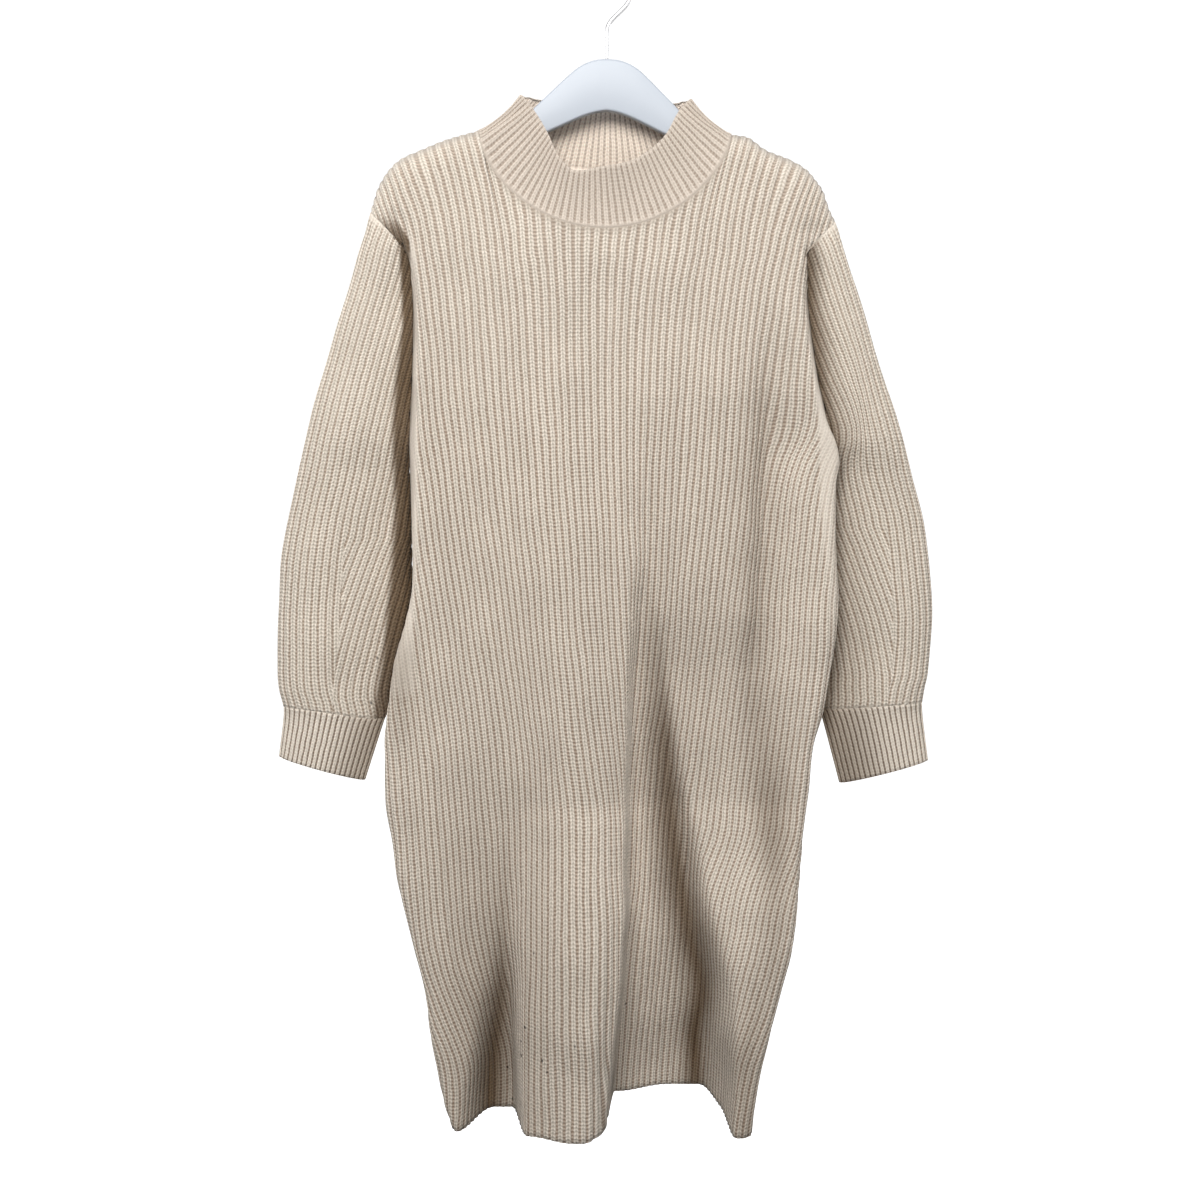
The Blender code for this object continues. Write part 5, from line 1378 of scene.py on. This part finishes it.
# Along the neck seam the pieces press into each other, and both pieces are painted darker there: painted shade.
for side in ("front", "back"):
    shade_of[side][0, left : right + 1] *= 0.6
    shade_of[side][1, left : right + 1] *= 0.8
shade_of["collar"][-1] *= 0.75
for key, shade in SLEEVE_SHADE.items():
    points = grids[key][0]
    beyond = (np.abs(points[..., 0]) - np.abs(at_level(shade, "x", points[..., 2]))) / at_level(shade, "fade", points[..., 2])
    shade_of[key] = shade_of[key] * (1 - at_level(shade, "dark", points[..., 2]) * (1 - ease(beyond)))
# Painted shade on each cuff's inner side, fading out across it.
for key in ("cuff_left", "cuff_right"):
    reach = np.abs(grids[key][0][..., 0])
    near, far = reach.min(axis=1, keepdims=True), reach.max(axis=1, keepdims=True)
    dark, wide = (0.45, 0.6) if key == "cuff_left" else (0.62, 0.8)
    shade_of[key] = shade_of[key] * (1 - dark * (1 - ease((reach - near) / (far - near) / wide)))
panels = {}
for key, (points, normals, knit) in grids.items():
    knit = np.concatenate([knit, shade_of[key][..., None]], axis=2)
    panels[key] = (knit_shell(key + "_knit", points, normals, knit, **shells[key]), points, normals)


# ---------------------------------------------------------------- hanger


def hanger_profile(x):
    """Top and bottom edge at a distance from the hanger's middle."""
    return float(along(HANGER["top"], HANGER["x"], abs(x))), float(along(HANGER["bottom"], HANGER["x"], abs(x)))


def make_hanger():
    half, edge = HANGER_THICK / 2, HANGER_EDGE
    reach = HANGER["x"][-1]
    stations = np.concatenate([np.linspace(-reach, -reach + 12, 9)[:-1], np.linspace(-reach + 12, reach - 12, 161), np.linspace(reach - 12, reach, 9)[1:]])
    corner = np.linspace(0, math.pi / 2, 5)
    vertices, faces = [], []
    dip = math.radians(HANGER_TILT)
    for x in stations:
        high, low = hanger_profile(x)
        e = min(edge, (high - low) / 2.2)
        section = []
        for angle in corner:
            section.append((-half + e - e * math.sin(angle), high - e + e * math.cos(angle)))
        for angle in corner:
            section.append((-half + e - e * math.cos(angle), low + e - e * math.sin(angle)))
        section += [(-y, z) for y, z in section[::-1]]
        for y, z in section:
            drop = z - HANGER["top"][0]
            across = x * math.cos(dip) + drop * math.sin(dip)
            height = HANGER["top"][0] + drop * math.cos(dip) - x * math.sin(dip)
            vertices.append(((across + HANGER_MIDDLE) * MM, y * MM, height * MM))
    n = 20
    for i in range(len(stations) - 1):
        for k in range(n):
            a, b = i * n + k, i * n + (k + 1) % n
            faces.append([a, b, b + n, a + n])
    faces.append(list(range(n))[::-1])
    faces.append([(len(stations) - 1) * n + k for k in range(n)])
    mesh = bpy.data.meshes.new("hanger_board")
    mesh.from_pydata(vertices, [], faces)
    shape = bmesh.new()
    shape.from_mesh(mesh)
    bmesh.ops.recalc_face_normals(shape, faces=shape.faces[:])
    if shape.calc_volume(signed=True) < 0:
        bmesh.ops.reverse_faces(shape, faces=shape.faces[:])
    shape.to_mesh(mesh)
    shape.free()
    mesh.shade_smooth()
    mesh.set_sharp_from_angle(angle=math.radians(60))
    obj = bpy.data.objects.new("hanger_board", mesh)
    bpy.context.scene.collection.objects.link(obj)
    return obj


def make_hook():
    """Round wire: a stem out of the hanger, a sweep to one side and a loop over the rail."""
    centre_z = WIRE_RADIUS - HOOK_RADIUS
    join, tip = math.radians(-23), math.radians(203)
    points = [(0.0, -91.0), (0.0, -84.0), (0.0, -76.0), (0.0, -68.0)]
    start = np.array([0.0, -66.0])
    end = np.array([HOOK_RADIUS * math.cos(join), centre_z + HOOK_RADIUS * math.sin(join)])
    lead_in = np.array([0.0, 15.0])
    lead_out = np.array([-math.sin(join), math.cos(join)]) * 17.0
    for t in np.linspace(0.08, 1, 26):
        a, b, c, d = start, start + lead_in, end - lead_out, end
        p = (1 - t) ** 3 * a + 3 * (1 - t) ** 2 * t * b + 3 * (1 - t) * t * t * c + t**3 * d
        points.append(tuple(p))
    for angle in np.linspace(join, tip, 60)[1:]:
        points.append((HOOK_RADIUS * math.cos(angle), centre_z + HOOK_RADIUS * math.sin(angle)))
    path = np.array([(x, 0.0, z) for x, z in points])
    around = 16
    vertices, faces = [], []

    def ring(centre, forward, radius):
        side = np.array([0.0, 1.0, 0.0])
        other = np.cross(forward, side)
        for k in range(around):
            angle = 2 * math.pi * k / around
            vertices.append(tuple((centre + radius * (math.cos(angle) * side + math.sin(angle) * other)) * MM))

    tangent = np.gradient(path, axis=0)
    tangent /= np.linalg.norm(tangent, axis=1, keepdims=True)
    for p, t in zip(path, tangent):
        ring(p, t, WIRE_RADIUS)
    # The wire's end is rounded.
    for share in (0.5, 0.85, 1.0):
        ring(path[-1] + tangent[-1] * WIRE_RADIUS * 0.7 * share, tangent[-1], WIRE_RADIUS * math.sqrt(max(1 - share**2, 0.01)))
    count = len(vertices) // around
    for i in range(count - 1):
        for k in range(around):
            a, b = i * around + k, i * around + (k + 1) % around
            faces.append([a, b, b + around, a + around])
    faces.append(list(range(around))[::-1])
    faces.append([(count - 1) * around + k for k in range(around)])
    mesh = bpy.data.meshes.new("hook_wire")
    mesh.from_pydata(vertices, [], faces)
    shape = bmesh.new()
    shape.from_mesh(mesh)
    bmesh.ops.recalc_face_normals(shape, faces=shape.faces[:])
    shape.to_mesh(mesh)
    shape.free()
    mesh.shade_smooth()
    mesh.set_sharp_from_angle(angle=math.radians(60))
    obj = bpy.data.objects.new("hook_wire", mesh)
    bpy.context.scene.collection.objects.link(obj)
    return obj


hanger = make_hanger()
hook = make_hook()


# ---------------------------------------------------------------- materials


class Graph:
    """Short calls for building a material's nodes."""

    def __init__(self, name):
        self.material = bpy.data.materials.new(name)
        self.material.use_nodes = True
        self.tree = self.material.node_tree
        self.shader = self.tree.nodes["Principled BSDF"]

    def node(self, kind, **settings):
        made = self.tree.nodes.new(kind)
        for key, value in settings.items():
            setattr(made, key, value)
        return made

    def put(self, target, value):
        if isinstance(value, bpy.types.NodeSocket):
            self.tree.links.new(value, target)
        else:
            target.default_value = value

    def math(self, operation, a, b=None, c=None, clamp=False):
        made = self.node("ShaderNodeMath", operation=operation, use_clamp=clamp)
        for socket, value in zip(made.inputs, (a, b, c)):
            if value is not None:
                self.put(socket, value)
        return made.outputs[0]

    def ramp(self, value, low, high, to_low=0.0, to_high=1.0):
        made = self.node("ShaderNodeMapRange", interpolation_type="SMOOTHSTEP")
        for i, v in enumerate((value, low, high, to_low, to_high)):
            self.put(made.inputs[i], v)
        return made.outputs[0]

    def mix(self, factor, a, b):
        made = self.node("ShaderNodeMix", data_type="RGBA")
        self.put(made.inputs[0], factor)
        for socket, value in ((made.inputs[6], a), (made.inputs[7], b)):
            self.put(socket, (*value, 1) if isinstance(value, tuple) else value)
        return made.outputs[2]

    def noise(self, scale, detail=2.0, vector=None, rough=0.5):
        made = self.node("ShaderNodeTexNoise")
        made.inputs["Scale"].default_value = scale
        made.inputs["Detail"].default_value = detail
        made.inputs["Roughness"].default_value = rough
        if vector is not None:
            self.put(made.inputs["Vector"], vector)
        return made.outputs["Fac"]


# Dark specks of fibre caught in the wool, in metres: x, z and radius.
SPECKS = ((-0.0813, -1.0453, 0.0015), (-0.0854, -1.0605, 0.0012), (-0.0853, -1.0751, 0.0015), (-0.0643, -1.0782, 0.0016), (-0.0594, -1.0893, 0.0012), (-0.1008, -1.1008, 0.0014), (-0.0316, -1.0610, 0.0011), (-0.0725, -0.9716, 0.0011), (0.0195, -1.0394, 0.0012), (-0.0957, -1.1328, 0.0015), (-0.2318, -0.6841, 0.0014), (-0.2383, -0.7298, 0.0016))


def knit_material(name, light, line, ladder, valley, edges, bump, shade_brown, specks=(), gain=1.0):
    """Rib knit: chains of V stitches on the ribs, a ladder of small bars in the valleys, wool that is a little uneven.
    The valleys and the folds are painted darker, painted shade, and where the shade channel is above 1.1 the wool is
    painted lighter, painted light.

    edges: how near a rib's middle its valley starts and how wide its middle line is, first
    high up where the knit is stretched, then low down."""
    g = Graph(name)
    place = g.node("ShaderNodeNewGeometry").outputs["Position"]
    where = g.node("ShaderNodeSeparateXYZ")
    g.put(where.inputs[0], place)
    high = g.ramp(where.outputs[2], -0.50, -0.34)
    read = g.node("ShaderNodeAttribute", attribute_name="knit", attribute_type="GEOMETRY")
    parts = g.node("ShaderNodeSeparateColor")
    g.put(parts.inputs[0], read.outputs["Color"])
    phase, course, soft = parts.outputs[:3]
    shade_and_light = read.outputs["Alpha"]
    wander = g.math("MULTIPLY", g.math("SUBTRACT", g.noise(120, 2, place), 0.5), 0.20)
    wobble = g.math("MULTIPLY", g.math("SUBTRACT", g.noise(430, 1, place), 0.5), 0.14)
    phase = g.math("ADD", g.math("ADD", phase, wander), wobble)
    course = g.math("ADD", course, g.math("MULTIPLY", g.math("SUBTRACT", g.noise(90, 2, place), 0.5), 0.6))
    across = g.math("FRACT", phase)
    # Neighbouring ribs and valleys don't keep step with each other.
    rib_start = g.node("ShaderNodeTexWhiteNoise", noise_dimensions="1D")
    g.put(rib_start.inputs["W"], g.math("FLOOR", phase))
    valley_start = g.node("ShaderNodeTexWhiteNoise", noise_dimensions="1D")
    g.put(valley_start.inputs["W"], g.math("ADD", g.math("FLOOR", g.math("ADD", phase, 0.5)), 0.37))
    valley_course = g.math("ADD", course, valley_start.outputs["Value"])
    course = g.math("ADD", course, rib_start.outputs["Value"])
    off = g.math("MULTIPLY", g.math("ABSOLUTE", g.math("SUBTRACT", across, 0.5)), 2.0)
    firm = g.math("SUBTRACT", 1.0, soft)
    starts = g.math("MULTIPLY_ADD", high, edges[0][0] - edges[1][0], edges[1][0])
    width = g.math("MULTIPLY_ADD", high, edges[0][1] - edges[1][1], edges[1][1])
    in_valley = g.math("MULTIPLY", g.ramp(off, starts, g.math("ADD", starts, 0.26)), g.math("MULTIPLY", firm, g.math("MULTIPLY_ADD", high, -0.14, 1.0)))
    in_line = g.math("MULTIPLY", g.ramp(off, g.math("MULTIPLY", width, 0.4), g.math("MULTIPLY", width, 1.6), 1.0, 0.0), firm)
    # The legs of each V lean outwards and up.
    lean = g.math("ADD", course, g.math("MULTIPLY", off, -0.62))
    leg = g.math("COSINE", g.math("MULTIPLY", lean, 2 * math.pi))
    leg = g.math("MULTIPLY_ADD", leg, g.math("MULTIPLY", firm, 0.5), 0.5)
    beat = g.math("COSINE", g.math("MULTIPLY", course, 2 * math.pi))
    beat = g.math("MULTIPLY_ADD", beat, 0.5, 0.5)
    fibre = g.noise(900, 3, place, 0.7)
    patch = g.noise(16, 3, place)
    blotch = g.noise(210, 3, place, 0.6)
    colour = g.mix(g.math("MULTIPLY", g.math("SUBTRACT", 1.0, leg), 0.54), light, line)
    colour = g.mix(g.math("MULTIPLY", in_line, g.math("MULTIPLY_ADD", beat, -0.3, 0.9)), colour, line)
    # The valleys are painted darker than the ribs' yarn, painted shade in their hollows, and a little less dark high
    # up; the ladder's bars in them are lighter.
    rung = g.math("COSINE", g.math("MULTIPLY", valley_course, 2 * math.pi))
    rung = g.math("MULTIPLY_ADD", rung, 0.5, 0.5)
    bars = g.mix(g.math("MULTIPLY", g.ramp(rung, 0.2, 0.8), g.ramp(blotch, 0.3, 0.6, 0.55, 1.0)), valley, ladder)
    colour = g.mix(in_valley, colour, bars)
    tone = g.node("ShaderNodeHueSaturation")
    g.put(tone.inputs["Color"], colour)
    value = g.math("ADD", g.math("MULTIPLY_ADD", fibre, 0.34, 0.83), g.math("MULTIPLY_ADD", patch, 0.10, -0.05))
    value = g.math("ADD", value, g.math("MULTIPLY_ADD", rib_start.outputs["Value"], 0.05, -0.025))
    # gain scales the wool's brightness; where the shade channel is above 1.1 the wool is painted up to half as light
    # again: painted light.
    value = g.math("MULTIPLY", value, g.ramp(shade_and_light, 1.1, 1.6, gain, gain * 1.5))
    for x, z, radius in specks:
        far = g.math("ADD", g.math("POWER", g.math("SUBTRACT", where.outputs[0], x), 2.0), g.math("POWER", g.math("MULTIPLY", g.math("SUBTRACT", where.outputs[2], z), 0.7), 2.0))
        spot = g.ramp(far, 0.0, radius * radius, 0.8, 0.0)
        front = g.ramp(where.outputs[1], 0.02, 0.03, 1.0, 0.0)
        value = g.math("MULTIPLY", value, g.math("SUBTRACT", 1.0, g.math("MULTIPLY", spot, front)))
    g.put(tone.inputs["Value"], value)
    # Painted shade: where the knit's shade channel is low the wool is painted darker and browner.
    deep = g.mix(g.math("MINIMUM", shade_and_light, 1.0), shade_brown, (1.0, 1.0, 1.0))
    both = g.node("ShaderNodeMix", data_type="RGBA", blend_type="MULTIPLY")
    both.inputs[0].default_value = 1.0
    g.put(both.inputs[6], tone.outputs[0])
    g.put(both.inputs[7], deep)
    g.put(g.shader.inputs["Base Color"], both.outputs[2])
    height = g.math("MULTIPLY", g.math("MULTIPLY_ADD", leg, 0.5, 0.5), g.math("SUBTRACT", 1.0, g.math("MULTIPLY", in_valley, 0.8)))
    height = g.math("ADD", height, g.math("MULTIPLY", in_valley, g.math("MULTIPLY", rung, 0.35)))
    height = g.math("SUBTRACT", height, g.math("MULTIPLY", in_line, 0.45))
    height = g.math("ADD", height, g.math("MULTIPLY", fibre, 0.5))
    lump = g.node("ShaderNodeBump")
    lump.inputs["Strength"].default_value = bump
    lump.inputs["Distance"].default_value = 0.0009
    g.put(lump.inputs["Height"], height)
    g.put(g.shader.inputs["Normal"], lump.outputs[0])
    g.shader.inputs["Roughness"].default_value = 0.92
    g.shader.inputs["Sheen Weight"].default_value = 0.2
    g.shader.inputs["Sheen Roughness"].default_value = 0.5
    g.shader.inputs["Sheen Tint"].default_value = (1.0, 0.95, 0.88, 1)
    g.shader.inputs["Specular IOR Level"].default_value = 0.12
    return g.material


WIDE = ((0.46, 0.16), (0.50, 0.19))
NARROW = ((0.56, 0.22), (0.56, 0.22))
# The brown that painted shade darkens the wool towards.
SHADE_BROWN = (0.20, 0.15, 0.10)
body_knit = knit_material("rib_knit", (1.0, 0.915, 0.82), (0.50, 0.44, 0.36), (0.63, 0.52, 0.43), (0.34, 0.26, 0.20), WIDE, 0.8, SHADE_BROWN, SPECKS, 1.01)
sleeve_knit = knit_material("sleeve_rib_knit", (1.0, 0.915, 0.82), (0.48, 0.42, 0.34), (0.61, 0.51, 0.42), (0.33, 0.255, 0.195), NARROW, 0.9, SHADE_BROWN, SPECKS, 1.08)
collar_knit = knit_material("collar_rib_knit", (0.80, 0.71, 0.63), (0.60, 0.52, 0.44), (0.50, 0.42, 0.35), (0.36, 0.285, 0.23), ((0.48, 0.12), (0.48, 0.12)), 0.7, SHADE_BROWN)
cuff_knit = knit_material("cuff_rib_knit", (1.0, 0.915, 0.82), (0.74, 0.66, 0.56), (0.42, 0.34, 0.27), (0.26, 0.20, 0.155), ((0.54, 0.14), (0.54, 0.14)), 0.7, SHADE_BROWN, (), 1.03)

white = Graph("white_lacquer")
place = white.node("ShaderNodeNewGeometry").outputs["Position"]
tint = white.mix(white.noise(14, 3, place), (0.50, 0.55, 0.625), (0.54, 0.59, 0.665))
white.put(white.shader.inputs["Base Color"], tint)
white.shader.inputs["Roughness"].default_value = 0.38
grain = white.node("ShaderNodeBump")
grain.inputs["Strength"].default_value = 0.08
grain.inputs["Distance"].default_value = 0.0003
white.put(grain.inputs["Height"], white.noise(420, 2, place))
white.put(white.shader.inputs["Normal"], grain.outputs[0])

steel = Graph("hook_steel")
place = steel.node("ShaderNodeNewGeometry").outputs["Position"]
steel.put(steel.shader.inputs["Base Color"], steel.mix(steel.noise(60, 3, place), (0.36, 0.36, 0.37), (0.52, 0.52, 0.53)))
steel.shader.inputs["Metallic"].default_value = 1.0
steel.put(steel.shader.inputs["Roughness"], steel.ramp(steel.noise(200, 2, place), 0.3, 0.7, 0.16, 0.28))

for key, (obj, _, _) in panels.items():
    obj.data.materials.append(collar_knit if key == "collar" else cuff_knit if key.startswith("cuff") else sleeve_knit if key.startswith("sleeve") else body_knit)
hanger.data.materials.append(white.material)
hook.data.materials.append(steel.material)


# ---------------------------------------------------------------- frame

# Flat cuts in metres: width, length, and the share of that rectangle that the shaped piece fills.
CUTS = {
    "front": (0.49, 0.985, 0.94),
    "back": (0.49, 0.985, 0.96),
    "sleeve_left": (0.28, 0.50, 0.80),
    "sleeve_right": (0.27, 0.49, 0.78),
    "cuff_left": (0.215, 0.060, 1.0),
    "cuff_right": (0.225, 0.070, 1.0),
    "collar": (0.56, 0.060, 1.0),
}
for key, (obj, _, _) in panels.items():
    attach(obj, "root")
    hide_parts(key)
    width, length, share = CUTS[key]
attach(hanger, "root")
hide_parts("hanger_body")
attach(hook, "root")
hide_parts("hanger_hook")


# ---------------------------------------------------------------- floor, light, camera

floor_mesh = bpy.data.meshes.new("floor")
shape = bmesh.new()
profile = [(-6.0, -1.75), (2.0, -1.75)]
for angle in np.linspace(0, math.pi / 2, 13)[1:]:
    profile.append((2.0 + 1.6 * math.sin(angle), -1.75 + 1.6 * (1 - math.cos(angle))))
profile.append((3.6, 5.0))
lines = []
for y, z in profile:
    lines.append((shape.verts.new((-7, y, z)), shape.verts.new((7, y, z))))
for (a, b), (c, d) in zip(lines, lines[1:]):
    shape.faces.new((a, b, d, c))
shape.to_mesh(floor_mesh)
shape.free()
floor_mesh.shade_smooth()
floor = bpy.data.objects.new("floor", floor_mesh)
bpy.context.scene.collection.objects.link(floor)
paper = Graph("studio_paper")
place = paper.node("ShaderNodeNewGeometry").outputs["Position"]
paper.put(paper.shader.inputs["Base Color"], paper.mix(paper.noise(3, 2, place), (0.93, 0.93, 0.93), (0.95, 0.95, 0.95)))
paper.shader.inputs["Roughness"].default_value = 0.9
paper.shader.inputs["Emission Color"].default_value = (1, 1, 1, 1)
paper.shader.inputs["Emission Strength"].default_value = 0.9
floor_mesh.materials.append(paper.material)
floor.visible_diffuse = False


def area_light(name, place, aim, size, power, colour=(1, 1, 1)):
    data = bpy.data.lights.new(name, "AREA")
    data.shape = "RECTANGLE"
    data.size, data.size_y = size
    data.energy = power
    data.color = colour
    obj = bpy.data.objects.new(name, data)
    obj.location = place
    obj.rotation_euler = (Vector(aim) - Vector(place)).to_track_quat("-Z", "Y").to_euler()
    bpy.context.scene.collection.objects.link(obj)
    return obj


area_light("key", (-0.25, -2.1, 0.75), (-0.02, 0, -0.5), (1.5, 1.1), 54.5, (1.0, 0.985, 0.96))
area_light("fill", (0.9, -2.6, -0.1), (0, 0, -0.6), (1.2, 1.2), 8, (1.0, 0.985, 0.965))
area_light("top", (0, -0.5, 1.3), (0, 0, -0.3), (1.8, 1.0), 6)
area_light("side_left", (-1.7, -0.5, -0.25), (0, 0, -0.4), (0.9, 1.3), 7)
area_light("side_right", (1.7, -0.4, -0.3), (0, 0, -0.4), (0.9, 1.3), 5)
area_light("back_left", (-2.0, 1.9, 0.1), (0, 0, -0.6), (1.2, 1.4), 38)
area_light("back_right", (2.0, 1.9, 0.1), (0, 0, -0.6), (1.2, 1.4), 32)

world = bpy.data.worlds.new("studio")
world.use_nodes = True
world.node_tree.nodes["Background"].inputs[0].default_value = (1.0, 1.0, 1.0, 1)
world.node_tree.nodes["Background"].inputs[1].default_value = 1.0
world.cycles_visibility.diffuse = False
bpy.context.scene.world = world
bpy.context.scene.view_settings.view_transform = "Standard"
bpy.context.scene.view_settings.look = "None"

lens = bpy.data.cameras.new("camera")
lens.sensor_width = 36.0
lens.lens = 1894.0 * 36.0 / 1200.0
lens.clip_start, lens.clip_end = 0.05, 50
camera = bpy.data.objects.new("camera", lens)
camera.location = (-0.00686, -1.900, -0.4759)
camera.rotation_euler = (math.radians(90 - 4.5), 0, 0)
bpy.context.scene.collection.objects.link(camera)
bpy.context.scene.camera = camera
